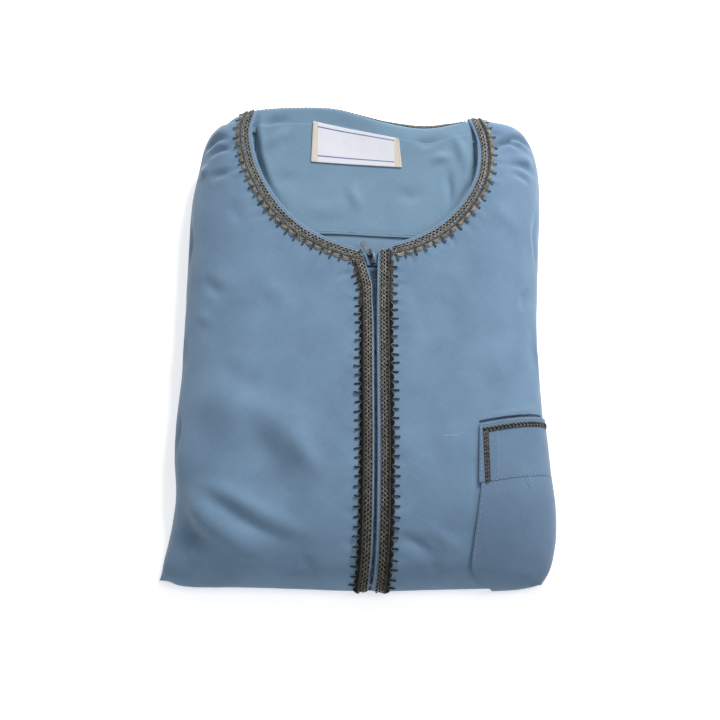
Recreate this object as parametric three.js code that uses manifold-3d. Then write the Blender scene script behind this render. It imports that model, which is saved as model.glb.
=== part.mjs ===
// A child's qamis robe, folded for the shelf and lying face up: neck at +Y, zip down the front,
// the rest of the skirt and the sleeves folded in behind. Millimetres, +Z up, resting on z = 0.
import * as THREE from 'three';
import { mergeVertices } from 'three/addons/utils/BufferGeometryUtils.js';
import Module from 'manifold-3d';

const wasm = await Module();
wasm.setup();

// Driving dimensions of the folded robe
const CLOTH = 1.2;             // wall of the front, with its turned and pressed layers
const GAP = 0.3;               // between pieces at seams
const NEAR_Z = 6;              // widest height of the near fold
const NEAR_ROLL = 72;          // how far the top slopes down towards the near fold
const FLOOR_TUCK_Z = 1;        // where the front turns under the near fold
const LOWEST = 0.6;            // no wall reaches lower than this over the floor
const GROOVE_Z = 13.5;         // groove under the top bundle at the far end
const CORE_DROP = 1.9;         // hidden layers below the outer face of the front
const CORE_INSET = 2.3;        // and in from its rolled edges
const CORE_TROUGH = 24;        // and hollowed this much wider under the troughs
const ZIP_CHANNEL = 12.5;      // half width of the place for the zip in the hidden layers
const BACK_START_Y = 46;       // the inside of the back begins under the front neckline
const SHIFT = [-0.05, -0.77];   // moves the folded robe so that its box stands on the origin

const NECK_MARGIN = 2.6;       // turned edge that shows inside the neck braid
const BRAID_WIDTH = 8.7;
const PICOT_PITCH = 5.9;
const PICOT_LENGTH = 2.7;
const PICOT_WIDTH = 1.1;
const BRAID_COLUMN = 11.6;     // the panel's first strip, as wide as the braid and its margin

// Short tables, a row for each section or fold, read by their column names
function table(columns, rows) {
  const names = columns.split(' ');
  return rows.map((row) => Object.fromEntries(names.map((name, i) => [name, row[i]])));
}

// Smooth curve through a table's rows, along one of its columns or along its plan length
class Track {
  constructor(rows, key = null) {
    this.rows = rows;
    this.names = Object.keys(rows[0]);
    this.stops = [0];
    rows.slice(1).forEach((row, i) => {
      this.stops.push(this.stops[i] + Math.hypot(row.x - rows[i].x, row.y - rows[i].y));
    });
    if (key) this.stops = rows.map((row) => row[key]);
    this.last = rows.length - 1;
    this.length = this.stops[this.last] - this.stops[0];
  }

  slope(name, i) {
    const before = Math.max(i - 1, 0);
    const after = Math.min(i + 1, this.last);
    return (this.rows[after][name] - this.rows[before][name]) / (this.stops[after] - this.stops[before]);
  }

  at(place) {
    const stop = Math.min(Math.max(place, this.stops[0]), this.stops[this.last]);
    let i = 0;
    while (i < this.last - 1 && this.stops[i + 1] < stop) i += 1;
    const span = this.stops[i + 1] - this.stops[i];
    const t = (stop - this.stops[i]) / span;
    const found = {};
    for (const name of this.names) {
      const a = this.rows[i][name];
      const b = this.rows[i + 1][name];
      const ease = t * t * (3 - 2 * t);
      const bend = this.slope(name, i) * t * (1 - t) ** 2 - this.slope(name, i + 1) * t * t * (1 - t);
      found[name] = a + (b - a) * ease + bend * span;
    }
    return found;
  }

  share(part) {
    return this.at(this.stops[0] + part * this.length);
  }
}

// Side edges of the fold from the near corner to the neck point: plan place, height of the widest
// point, how far in the roll reaches, and the height at which the cloth is tucked in
const LEFT_EDGE = new Track(table('x y z roll tuckZ', [
  [-117.5, -152, 4.4, 50, 1],
  [-113, -134, 5, 50, 1],
  [-109.5, -116, 8, 48, 3],
  [-107.5, -99, 12, 45, 8.5],
  [-110.5, -86, 13.5, 45, 12],
  [-111, -60, 14, 45, 12.8],
  [-109, -14, 14, 45, 12.8],
  [-110, 40, 14, 45, 12.8],
  [-110, 96, 14, 40, 12.8],
  [-106.5, 124, 15, 30, 12.8],
  [-103.5, 140, 17, 22, 12.8],
  [-97.5, 150, 20, 16, 13],
  [-86, 154.5, 28, 13, 13.5],
  [-72.5, 157.5, 38, 10, 13.5],
]));
const RIGHT_EDGE = new Track(table('x y z roll tuckZ', [
  [103.5, -151.5, 4.6, 45, 1],
  [109.5, -143, 5.2, 45, 1],
  [113.5, -125, 9, 45, 3],
  [114.5, -115, 11, 45, 7],
  [113, -99, 13, 45, 11.5],
  [111.5, -76, 14, 45, 12.8],
  [110.5, -45, 14, 45, 12.8],
  [110, -2, 14, 45, 12.8],
  [112, 30, 14, 45, 12.8],
  [115, 66, 14, 42, 12.8],
  [118, 102, 14.5, 36, 12.8],
  [117.5, 124, 16, 30, 12.8],
  [113.5, 140, 18, 22, 12.8],
  [107, 149, 21, 16, 13],
  [93, 152.5, 28, 13, 13.5],
  [76, 150.5, 38, 10, 13.5],
]));
const LEFT_SHOULDER = 0.895;   // share of the edge at which the side turns into the shoulder
const RIGHT_SHOULDER = 0.89;

const NEAR_EDGE = new Track(table('x y', [
  [-117.5, -152],
  [-104, -154.3],
  [-57, -154.8],
  [-23, -156.2],
  [6, -157],
  [40, -156.3],
  [74, -155.4],
  [94, -154.2],
  [103.5, -151.5],
]), 'x');

const FAR_EDGE = table('x y', [
  [-72.5, 157.5],
  [-40, 157],
  [0, 154.5],
  [40, 151],
  [60, 151.5],
  [76, 150.5],
]);

// Crown of the front along the robe, highest where it meets the neck
const CROWN = new Track(table('y z', [
  [-157, 32],
  [-60, 32.5],
  [0, 33],
  [30, 34],
  [55, 35.5],
  [75, 37],
  [107, 39],
  [143, 41],
  [158, 42],
]), 'y');

// Largest folds of the front, each along a line of three points; a trough has a negative lift
const FOLDS = table('x0 y0 x1 y1 x2 y2 width lift', [
  [-64, -58, -44, -88, -24, -106, 15, -3.2],
  [-43, -56, -27, -84, -14, -104, 12, 1.6],
  [-106, -88, -66, -112, -16, -132, 12, 2.8],
  [-92, -104, -66, -124, -36, -142, 12, -3.4],
  [-106, -102, -82, -128, -50, -148, 11, 3],
  [-108, -122, -98, -136, -84, -148, 13, -2.6],
  [-98, 40, -84, 28, -70, 20, 13, 1.2],
  [26, -128, 38, -138, 50, -148, 12, -1.8],
  [-98, 128, -90, 130, -80, 126, 7, -1.6],
  [112, 122, 98, 128, 88, 126, 7, -1.8],
]);

const roll = (part) => {
  const inside = Math.min(Math.max(part, 0), 1);
  return Math.sqrt(1 - (1 - inside) ** 2);
};

function toSegment(x, y, a, b) {
  const along = (x - a.x) * (b.x - a.x) + (y - a.y) * (b.y - a.y);
  const t = Math.min(Math.max(along / ((b.x - a.x) ** 2 + (b.y - a.y) ** 2), 0), 1);
  return { t, distance: Math.hypot(x - a.x - t * (b.x - a.x), y - a.y - t * (b.y - a.y)) };
}

// With troughs alone, and wider, it gives the hollow that the hidden layers leave under them
function foldLift(x, y, troughWidth = 0) {
  let lift = 0;
  for (const fold of FOLDS) {
    if (troughWidth && fold.lift > 0) continue;
    const width = fold.width + troughWidth;
    const points = [{ x: fold.x0, y: fold.y0 }, { x: fold.x1, y: fold.y1 }, { x: fold.x2, y: fold.y2 }];
    const near = Math.min(toSegment(x, y, points[0], points[1]).distance,
      toSegment(x, y, points[1], points[2]).distance);
    lift += fold.lift * Math.max(0, 1 - (near / width) ** 2) ** 2;
  }
  return lift;
}

const EDGE_STEPS = 70;
const sampled = (track) => Array.from({ length: EDGE_STEPS + 1 }, (_, i) => track.share(i / EDGE_STEPS));
const edgePoints = { left: sampled(LEFT_EDGE), right: sampled(RIGHT_EDGE) };

function nearestEdge(x, y) {
  const points = x < 9 ? edgePoints.left : edgePoints.right;
  let best = { distance: Infinity };
  for (let i = 0; i < EDGE_STEPS; i += 1) {
    const { t, distance } = toSegment(x, y, points[i], points[i + 1]);
    if (distance < best.distance) {
      const mix = (name) => points[i][name] + t * (points[i + 1][name] - points[i][name]);
      best = { distance, z: mix('z'), roll: mix('roll') };
    }
  }
  return best;
}

// Outer face of the front over any plan place, or with inset the same form further in
function frontHeight(x, y, inset = 0, troughWidth = 0) {
  const edge = nearestEdge(x, y);
  const crown = CROWN.at(y).z + foldLift(x, y, troughWidth);
  const across = edge.z + (crown - edge.z) * roll((edge.distance - inset) / edge.roll);
  const near = y - NEAR_EDGE.at(x).y - inset;
  return NEAR_Z + (across - NEAR_Z) * roll(near / NEAR_ROLL);
}

// A wall from a grid of points: its outer face is lifted off them, its inner face is a thickness in
function wall(grid, thickness, lift = 0) {
  const rows = grid.length;
  const columns = grid[0].length;
  const normal = (i, j) => {
    const along = grid[Math.min(i + 1, rows - 1)][j].clone().sub(grid[Math.max(i - 1, 0)][j]);
    const across = grid[i][Math.min(j + 1, columns - 1)].clone().sub(grid[i][Math.max(j - 1, 0)]);
    return along.cross(across).normalize();
  };
  const centre = normal(Math.floor(rows / 2), Math.floor(columns / 2));
  const side = centre.z < 0 ? -1 : 1;
  const points = [];
  for (const depth of [lift, lift - thickness]) {
    grid.forEach((row, i) => row.forEach((point, j) => {
      const moved = point.clone().addScaledVector(normal(i, j), side * depth);
      points.push(moved.setZ(Math.max(moved.z, LOWEST)));
    }));
  }
  const id = (layer, i, j) => layer * rows * columns + i * columns + j;
  const faces = [];
  const quad = (a, b, c, d) => faces.push([a, b, c], [a, c, d]);
  for (let i = 0; i < rows - 1; i += 1) {
    for (let j = 0; j < columns - 1; j += 1) {
      quad(id(0, i, j), id(0, i + 1, j), id(0, i + 1, j + 1), id(0, i, j + 1));
      quad(id(1, i, j), id(1, i, j + 1), id(1, i + 1, j + 1), id(1, i + 1, j));
    }
  }
  for (let i = 0; i < rows - 1; i += 1) {
    quad(id(0, i, 0), id(1, i, 0), id(1, i + 1, 0), id(0, i + 1, 0));
    quad(id(0, i, columns - 1), id(0, i + 1, columns - 1), id(1, i + 1, columns - 1), id(1, i, columns - 1));
  }
  for (let j = 0; j < columns - 1; j += 1) {
    quad(id(0, 0, j), id(0, 0, j + 1), id(1, 0, j + 1), id(1, 0, j));
    quad(id(0, rows - 1, j), id(1, rows - 1, j), id(1, rows - 1, j + 1), id(0, rows - 1, j + 1));
  }
  return closedMesh(points, faces);
}

// Closed mesh with its faces turned outwards, whichever way the points were listed
function closedMesh(points, faces) {
  let volume = 0;
  for (const [a, b, c] of faces) volume += points[a].dot(points[b].clone().cross(points[c]));
  const outward = volume < 0 ? faces.map(([a, b, c]) => [a, c, b]) : faces;
  const geometry = new THREE.BufferGeometry();
  geometry.setAttribute('position', new THREE.Float32BufferAttribute(points.flatMap((p) => p.toArray()), 3));
  geometry.setIndex(outward.flat());
  return geometry;
}

// Rings joined in order and closed at both ends. A tip is a point drawn out of one face of the
// ring: { ring, side, point }
function loft(rings, tips = []) {
  const size = rings[0].length;
  const points = rings.flat();
  const faces = [];
  rings.slice(1).forEach((ring, r) => {
    for (let k = 0; k < size; k += 1) {
      const next = (k + 1) % size;
      const [a, b, c, d] = [r * size + k, r * size + next, (r + 1) * size + next, (r + 1) * size + k];
      const tip = tips.find((one) => one.ring === r && one.side === k);
      if (tip) {
        const point = points.push(tip.point) - 1;
        faces.push([a, b, point], [b, c, point], [c, d, point], [d, a, point]);
      } else {
        faces.push([a, b, c], [a, c, d]);
      }
    }
  });
  for (const [first, forward] of [[0, false], [(rings.length - 1) * size, true]]) {
    const middle = new THREE.Vector3();
    for (let k = 0; k < size; k += 1) middle.addScaledVector(points[first + k], 1 / size);
    const centre = points.push(middle) - 1;
    for (let k = 0; k < size; k += 1) {
      const [a, b] = [first + k, first + ((k + 1) % size)];
      faces.push(forward ? [a, b, centre] : [b, a, centre]);
    }
  }
  return closedMesh(points, faces);
}

// Sections of a front panel, each from its inner edge (the zip, then the neckline) along a heading
// in degrees to a share of the side edge. Both panels have the same zip rows.
const LEFT_SECTIONS = new Track(table('x y heading share', [
  [5.2, -157, 180, 0],
  [6.4, -150, 180, 0.025],
  [7.4, -140, 180, 0.06],
  [8.1, -124, 180, 0.11],
  [8.5, -104, 181, 0.165],
  [8.8, -80, 183, 0.22],
  [8.8, -52, 186, 0.28],
  [8.8, -24, 190, 0.335],
  [8.8, 4, 195, 0.39],
  [8.2, 22, 201, 0.43],
  [5.2, 40, 211, 0.475],
  [1.9, 54, 225, 0.525],
  [-7, 56.8, 247, 0.555],
  [-21, 62.6, 241, 0.59],
  [-37.5, 73, 229, 0.635],
  [-52, 89.5, 217, 0.685],
  [-61.5, 106.5, 207, 0.735],
  [-67.5, 124, 195, 0.785],
  [-70, 142, 184, 0.84],
  [-71.5, 157.6, 172, LEFT_SHOULDER],
]));
const RIGHT_SECTIONS = new Track(table('x y heading share', [
  [6.2, -157, 0, 0],
  [7.4, -150, 0, 0.025],
  [8.4, -140, 0, 0.06],
  [9.1, -124, 0, 0.11],
  [9.5, -104, -1, 0.165],
  [9.8, -80, -3, 0.22],
  [9.8, -52, -6, 0.28],
  [9.8, -24, -10, 0.335],
  [9.8, 4, -15, 0.39],
  [10, 22, -21, 0.43],
  [10.3, 40, -31, 0.475],
  [10.6, 55.6, -48, 0.525],
  [21, 58.4, -73, 0.555],
  [35, 63.4, -66, 0.59],
  [50, 72.5, -54, 0.635],
  [63.5, 87, -42, 0.685],
  [72.5, 104, -26, 0.735],
  [75.5, 120, -8, 0.785],
  [75, 136, 4, 0.84],
  [74.5, 150.8, 8, RIGHT_SHOULDER],
]));
const ZIP_ROWS = 11;           // table rows along the zip, the next one is the neck corner
const ROWS_BETWEEN = [1, 1, 1, 1, 1, 1, 1, 1, 1, 1, 1, 1, 2, 2, 2, 2, 2, 2, 2];
const EDGE_STOPS = [13, 6, 1.6, 0];
const MIDDLE_COLUMNS = 6;
const NEAR_TUCKS = table('inset drop', [[4.5, 1], [0.9, 0.55]]);
const SIDE_TUCKS = table('inset drop', [[0.9, 0.55], [4.2, 1]]);
const TUCK_FULL_Z = 12;        // below this height a side edge is tucked in less far
const FAR_TUCKS = table('inset drop', [[-0.6, 0.38], [-0.4, 0.78], [3.4, 1]]);

function columnStops(length) {
  const stops = [0];
  const last = length - EDGE_STOPS[0];
  for (let j = 0; j <= MIDDLE_COLUMNS; j += 1) {
    stops.push(BRAID_COLUMN + (last - BRAID_COLUMN) * (j / MIDDLE_COLUMNS));
  }
  return stops.concat(EDGE_STOPS.slice(1).map((stop) => length - stop));
}

function outward(track, share, side) {
  const a = track.share(Math.max(share - 0.004, 0));
  const b = track.share(Math.min(share + 0.004, 1));
  const length = Math.hypot(b.x - a.x, b.y - a.y);
  return new THREE.Vector3((-side * (b.y - a.y)) / -length, (side * (b.x - a.x)) / -length, 0);
}

// Grid of a front panel's outer face: tucked rows at the near fold, the sections, and the far wall
function panelGrid(sections, edge, side) {
  const places = [];
  ROWS_BETWEEN.forEach((count, i) => {
    for (let k = 0; k < count; k += 1) {
      places.push(sections.stops[i] + ((sections.stops[i + 1] - sections.stops[i]) * k) / count);
    }
  });
  places.push(sections.stops[sections.last]);
  const grid = places.map((place, i) => {
    const section = sections.at(place);
    const border = edge.share(section.share);
    const angle = THREE.MathUtils.degToRad(section.heading);
    const start = new THREE.Vector2(section.x, section.y);
    const end = new THREE.Vector2(border.x, border.y);
    const bend = new THREE.Vector2(Math.cos(angle), Math.sin(angle))
      .multiplyScalar(0.4 * start.distanceTo(end)).add(start);
    const line = new THREE.QuadraticBezierCurve(start, bend, end);
    const length = line.getLength();
    const row = columnStops(length).map((stop) => {
      const p = line.getPointAt(Math.min(stop / length, 1));
      if (i === 0) p.y = NEAR_EDGE.at(p.x).y;
      return new THREE.Vector3(p.x, p.y, frontHeight(p.x, p.y));
    });
    const out = outward(edge, section.share, side);
    const rim = row[row.length - 1];
    for (const tuck of SIDE_TUCKS) {
      const thin = Math.min(rim.z / TUCK_FULL_Z, 1);
      const point = rim.clone().addScaledVector(out, -tuck.inset * thin);
      point.z = rim.z - Math.max(rim.z - border.tuckZ, 0) * tuck.drop;
      row.push(point);
    }
    return row;
  });
  const nearRows = NEAR_TUCKS.map((tuck) => grid[0].map((point) => new THREE.Vector3(point.x,
    point.y + tuck.inset, point.z - Math.max(point.z - FLOOR_TUCK_Z, 0) * tuck.drop)));
  const last = grid[grid.length - 1];
  const farRows = FAR_TUCKS.map((tuck) => last.map((point, j) => {
    const a = last[Math.max(j - 1, 0)];
    const b = last[Math.min(j + 1, last.length - 3)];
    const length = Math.hypot(b.x - a.x, b.y - a.y) || 1;
    const inward = new THREE.Vector3((side * (b.y - a.y)) / length, (-side * (b.x - a.x)) / length, 0);
    const moved = point.clone().addScaledVector(inward, tuck.inset);
    moved.z = point.z - Math.max(point.z - GROOVE_Z, 0) * tuck.drop;
    return moved;
  }));
  return [...nearRows, ...grid, ...farRows];
}

const leftGrid = panelGrid(LEFT_SECTIONS, LEFT_EDGE, -1);
const rightGrid = panelGrid(RIGHT_SECTIONS, RIGHT_EDGE, 1);

// A strip of a panel between two lines of its points, with the outward side of its face
function stripOf(pairs, facing) {
  const strip = { pairs, side: 1 };
  const middle = Math.floor(pairs.length / 2);
  if (stripNormal(strip, middle, 0).dot(facing) < 0) strip.side = -1;
  return strip;
}

function stripNormal({ pairs, side }, i, part) {
  const inner = pairs[i][0].clone().lerp(pairs[i + 1][0], part);
  const outer = pairs[i][1].clone().lerp(pairs[i + 1][1], part);
  const along = pairs[i + 1][0].clone().sub(pairs[i][0]);
  return along.cross(outer.sub(inner)).normalize().multiplyScalar(side);
}

// A place on a strip: along it by the number of the pair, across it in millimetres
function onStrip(strip, row, across, lift) {
  const i = Math.min(Math.max(Math.floor(row), 0), strip.pairs.length - 2);
  const part = row - i;
  const inner = strip.pairs[i][0].clone().lerp(strip.pairs[i + 1][0], part);
  const outer = strip.pairs[i][1].clone().lerp(strip.pairs[i + 1][1], part);
  const width = inner.distanceTo(outer);
  return inner.lerp(outer, across / width).addScaledVector(stripNormal(strip, i, part), lift);
}

// Rows at an even spacing along a strip
function evenRows(strip, from, to, across, spacing) {
  const stops = [{ row: from, run: 0 }];
  const steps = Math.ceil((to - from) * 8);
  for (let s = 1; s <= steps; s += 1) {
    const row = from + ((to - from) * s) / steps;
    const before = stops[s - 1];
    const step = onStrip(strip, row, across, 0).distanceTo(onStrip(strip, before.row, across, 0));
    stops.push({ row, run: before.run + step });
  }
  const count = Math.round(stops[steps].run / spacing);
  const rowAt = (run) => {
    let s = 0;
    while (s < steps - 1 && stops[s + 1].run < run) s += 1;
    const part = (run - stops[s].run) / (stops[s + 1].run - stops[s].run);
    return stops[s].row + part * (stops[s + 1].row - stops[s].row);
  };
  return { count, rowAt, length: stops[steps].run };
}

// Braid on a panel: a flat net band, a raised cord and a row of picots along the outer edge. Its
// section in millimetres from the inner edge and above the cloth
const BRAID_SECTION = table('across lift', [
  [0, 0.4],
  [BRAID_WIDTH, 0.4],
  [BRAID_WIDTH, 1.15],
  [6.3, 1.9],
  [0, 0.95],
]);
const EDGE_SIDE = 1;           // the section's side that the picots grow from
const PICOT_CLEAR = 0.02;      // rows between a picot and a bend of the cloth

function braid(strip, from, to, margin) {
  const { count, rowAt, length } = evenRows(strip, from, to, margin + BRAID_WIDTH / 2, PICOT_PITCH);
  const pitch = length / count;
  const picots = Array.from({ length: count }, (_, n) => ({
    start: rowAt((n + 0.5) * pitch - PICOT_WIDTH / 2),
    middle: rowAt((n + 0.5) * pitch),
    end: rowAt((n + 0.5) * pitch + PICOT_WIDTH / 2),
  }));
  const atPicot = (row) => (
    picots.some(({ start, end }) => row > start - PICOT_CLEAR && row < end + PICOT_CLEAR));
  const bends = strip.pairs.map((_, row) => row).filter((row) => row > from && row < to && !atPicot(row));
  const rows = [from, to, ...bends, ...picots.flatMap(({ start, end }) => [start, end])];
  rows.sort((a, b) => a - b);
  const rings = rows.map((row) => (
    BRAID_SECTION.map((place) => onStrip(strip, row, margin + place.across, place.lift))));
  const tips = picots.map(({ start, middle }) => ({
    ring: rows.indexOf(start),
    side: EDGE_SIDE,
    point: onStrip(strip, middle, margin + BRAID_WIDTH + PICOT_LENGTH, 0.8),
  }));
  return loft(rings, tips);
}

// The far side between the neck points, and the edge of the back's neckline, which stands up and
// rolls over. Both run from left to right
const NECK_EDGE = new Track(table('x y z', [
  [-72, 156.8, 40],
  [-50, 157.2, 42.5],
  [-20, 156.3, 43.5],
  [-8, 154, 43],
  [7, 148.3, 42],
  [26, 143, 41],
  [44, 140.3, 40.5],
  [58, 143.5, 41],
  [74, 149.6, 40],
]), 'x');
const FAR_SIDE = new Track(FAR_EDGE, 'x');

// Inside of the back from under the front neckline up to its neck edge
const BACK_ROWS = new Track(table('share left right z', [
  [0, -32, 46, 27.5],
  [0.1, -44, 57, 28.2],
  [0.2, -54, 66, 29],
  [0.35, -65, 76, 30.5],
  [0.5, -72, 81.5, 32.5],
  [0.65, -73.5, 82, 34.5],
  [0.8, -72.5, 79, 37.2],
  [0.9, -69.2, 73.6, 39.6],
]), 'share');
const LAST_INSIDE = 0.9;
const CREST_ROUND = 1.6;       // radius of the rolled neck edge
const BACK_TUCK = 3.2;
const NECK_LEFT_X = -70.6;
const NECK_RIGHT_X = 73.6;

function backHeight(x, y) {
  const edge = NECK_EDGE.at(x);
  const share = (y - BACK_START_Y) / (edge.y - BACK_START_Y);
  if (share <= LAST_INSIDE) return BACK_ROWS.at(share).z;
  const base = BACK_ROWS.at(LAST_INSIDE).z;
  return base + (edge.z - base) * Math.min((share - LAST_INSIDE) / (1 - LAST_INSIDE), 1);
}

// Outside of the back below the neck edge, by share of the way down to the groove
const OUTSIDE_ROWS = [0.14, 0.62, 0.85, 1];
function outsidePoint(x, part) {
  const edge = NECK_EDGE.at(x);
  const far = FAR_SIDE.at(x);
  const angle = (part * Math.PI) / 2;
  const reach = Math.max(far.y - edge.y, CREST_ROUND);
  return new THREE.Vector3(x, edge.y + reach * Math.sin(angle) ** 1.2,
    GROOVE_Z + (edge.z - GROOVE_Z) * Math.cos(angle) ** 0.8);
}

const BACK_COLUMNS = 14;
const backShares = [0, 0.1, 0.2, 0.35, 0.5, 0.65, 0.8, LAST_INSIDE];
function backGrid() {
  const rows = backShares.map((share) => {
    const { left, right } = BACK_ROWS.at(share);
    return Array.from({ length: BACK_COLUMNS + 1 }, (_, j) => {
      const x = left + ((right - left) * j) / BACK_COLUMNS;
      const y = BACK_START_Y + share * (NECK_EDGE.at(x).y - BACK_START_Y);
      return new THREE.Vector3(x, y, backHeight(x, y));
    });
  });
  const across = Array.from({ length: BACK_COLUMNS + 1 }, (_, j) => (
    NECK_LEFT_X + ((NECK_RIGHT_X - NECK_LEFT_X) * j) / BACK_COLUMNS));
  rows.push(across.map((x) => {
    const edge = NECK_EDGE.at(x);
    return new THREE.Vector3(x, edge.y - CREST_ROUND, edge.z - 0.3);
  }));
  for (const part of OUTSIDE_ROWS) rows.push(across.map((x) => outsidePoint(x, part)));
  rows.push(across.map((x) => {
    const low = outsidePoint(x, 1);
    return new THREE.Vector3(x, low.y - BACK_TUCK, low.z - 0.2);
  }));
  return rows;
}

// Facing on the inside of the back, up to its neck edge, and the woven label sewn on it
const FACING_ROWS = table('share left right', [
  [0.2, -50, 62],
  [0.35, -62, 73.5],
  [0.5, -69.5, 79],
  [0.65, -69, 76],
  [0.8, -67.5, 73.5],
  [LAST_INSIDE, -67.5, 72],
]);
const FACING = 0.8;
function facingGrid() {
  return FACING_ROWS.map(({ share, left, right }) => (
    Array.from({ length: BACK_COLUMNS + 1 }, (_, j) => {
      const x = left + ((right - left) * j) / BACK_COLUMNS;
      const y = BACK_START_Y + share * (NECK_EDGE.at(x).y - BACK_START_Y);
      return new THREE.Vector3(x, y, backHeight(x, y));
    })));
}

const LABEL = 0.6;
const LABEL_CORNERS = {
  farLeft: [-30.5, 147], farRight: [25.3, 133.4], nearLeft: [-31.6, 118.8], nearRight: [27, 113.7],
};
function labelGrid() {
  const corner = ([x, y]) => new THREE.Vector2(x, y);
  return [0, 0.25, 0.5, 0.75, 1].map((down) => (
    Array.from({ length: 9 }, (_, j) => {
      const left = corner(LABEL_CORNERS.farLeft).lerp(corner(LABEL_CORNERS.nearLeft), down);
      const right = corner(LABEL_CORNERS.farRight).lerp(corner(LABEL_CORNERS.nearRight), down);
      const p = left.lerp(right, j / 8);
      return new THREE.Vector3(p.x, p.y, backHeight(p.x, p.y));
    })));
}

// Hidden layers: the folded skirt, back and sleeves as one rounded body, parted at its edges by
// two grooves. A profile row gives how far in from the outline and how high each level lies, where
// the layers show and where the front comes down over them
const LEVELS = table('inset z coverInset coverZ', [
  [8, 0, 11, 0],
  [2.2, 0.6, 8.4, 0.9],
  [0.9, 3, 7.6, 2],
  [1.8, 5.3, 7, 2.6],
  [5, 6.1, 6.5, 3],
  [1.8, 7, 5.9, 3.3],
  [0.7, 9.3, 5.7, 3.6],
  [1.8, 11.4, 5.6, 3.9],
  [6.6, 12.2, 5.4, 4.3],
  [7.4, 15.3, 5, 5],
]);
const TOP_INSETS = [4.6, 6.5, 11, 18, 28, 42];
const TOP_SHARES = [0.55, 0.42, 0.31, 0.19];
const TOP_LOW_Z = 16;          // the top starts no lower than this, or than the next where covered
const COVER_LOW_Z = 5.3;
const COVER_INSET = 1.4;
const CENTRE_Y = -5;
const CORE_POINTS = 66;
const COVER_FULL_Z = 12;       // an edge whose tuck is lower than this is covered to the floor
const COVER_FREE_Z = 12.7;

function outlinePoints() {
  const left = Array.from({ length: 60 }, (_, i) => LEFT_EDGE.share(i / 59));
  const right = Array.from({ length: 60 }, (_, i) => RIGHT_EDGE.share(1 - i / 59));
  const far = [-40, 0, 40, 60].map((x) => ({ x, y: FAR_SIDE.at(x).y, z: GROOVE_Z, tuckZ: GROOVE_Z }));
  const near = Array.from({ length: 25 }, (_, i) => {
    const x = 103.5 - (221 * i) / 24;
    return { x, y: NEAR_EDGE.at(x).y, z: NEAR_Z, tuckZ: FLOOR_TUCK_Z };
  });
  return [...left, ...far, ...right, ...near.slice(1, -1)];
}

const LEAST_SLANT = 0.55;

// Where rays from the middle cross the outline, and how squarely they cross it
function coreOutline() {
  const points = outlinePoints();
  return Array.from({ length: CORE_POINTS }, (_, k) => {
    const angle = (2 * Math.PI * k) / CORE_POINTS;
    const ray = { x: Math.cos(angle), y: Math.sin(angle) };
    let hit = null;
    points.forEach((a, i) => {
      const b = points[(i + 1) % points.length];
      const [x, y] = [a.x, a.y - CENTRE_Y];
      const [dx, dy] = [b.x - a.x, b.y - a.y];
      const cross = ray.x * dy - ray.y * dx;
      const reach = (x * dy - y * dx) / cross;
      const t = (x * ray.y - y * ray.x) / cross;
      const slant = Math.max(Math.abs(cross) / Math.hypot(dx, dy), LEAST_SLANT);
      const tuckZ = a.tuckZ + t * (b.tuckZ - a.tuckZ);
      if (reach > 0 && t >= 0 && t <= 1) hit = { reach, ray, tuckZ, slant };
    });
    return hit;
  });
}

// The neckline in plan as a rounded outline: the measure is 1 on it and less inside it
const NECK_PLAN = { x: 2, y: 125, left: 74, right: 79, down: 71, power: 1.6 };
function neckMeasure(x, y) {
  const across = Math.abs(x - NECK_PLAN.x) / (x < NECK_PLAN.x ? NECK_PLAN.left : NECK_PLAN.right);
  const down = Math.max(NECK_PLAN.y - y, 0) / NECK_PLAN.down;
  return across ** NECK_PLAN.power + down ** NECK_PLAN.power;
}

const ZIP_LINE = new Track(LEFT_SECTIONS.rows.slice(0, ZIP_ROWS + 1), 'y');
const MIDDLE_HOLLOW = 34;
const ZIP_DEPTH = 1.9;         // further down under the zip
const ZIP_TOP_Y = 60;

// Under the back the hidden layers stay below its sheet, and they rise again outside the neckline
const UNDER_BACK = {
  fromY: 5, reach: 1.2, riseFrom: 0.85, rise: 30, nearY: 32, nearRise: 0.4, farInset: 2.5, edge: 4, least: 2,
};

function coreTop(x, y) {
  let top = frontHeight(x, y, CORE_INSET, CORE_TROUGH) - CORE_DROP;
  const besideZip = y < ZIP_TOP_Y && Math.abs(x - ZIP_LINE.at(y).x) < ZIP_CHANNEL;
  if (besideZip || Math.hypot(x, y - CENTRE_Y) < MIDDLE_HOLLOW) top -= ZIP_DEPTH;
  const outside = neckMeasure(x, Math.max(y, BACK_START_Y)) - 1;
  if (y > UNDER_BACK.fromY && outside < UNDER_BACK.reach) {
    const edgeY = NECK_EDGE.at(x).y;
    const farY = FAR_SIDE.at(x).y;
    const back = backHeight(x, Math.min(y, edgeY - UNDER_BACK.edge)) - CORE_DROP;
    const far = (farY - y - UNDER_BACK.farInset) / Math.max(farY - edgeY, UNDER_BACK.least);
    const under = GROOVE_Z + (back - GROOVE_Z) * roll(far);
    const rise = UNDER_BACK.rise * Math.max(outside - UNDER_BACK.riseFrom, 0);
    top = Math.min(top, under + rise + UNDER_BACK.nearRise * Math.max(UNDER_BACK.nearY - y, 0));
  }
  return top;
}

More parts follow.
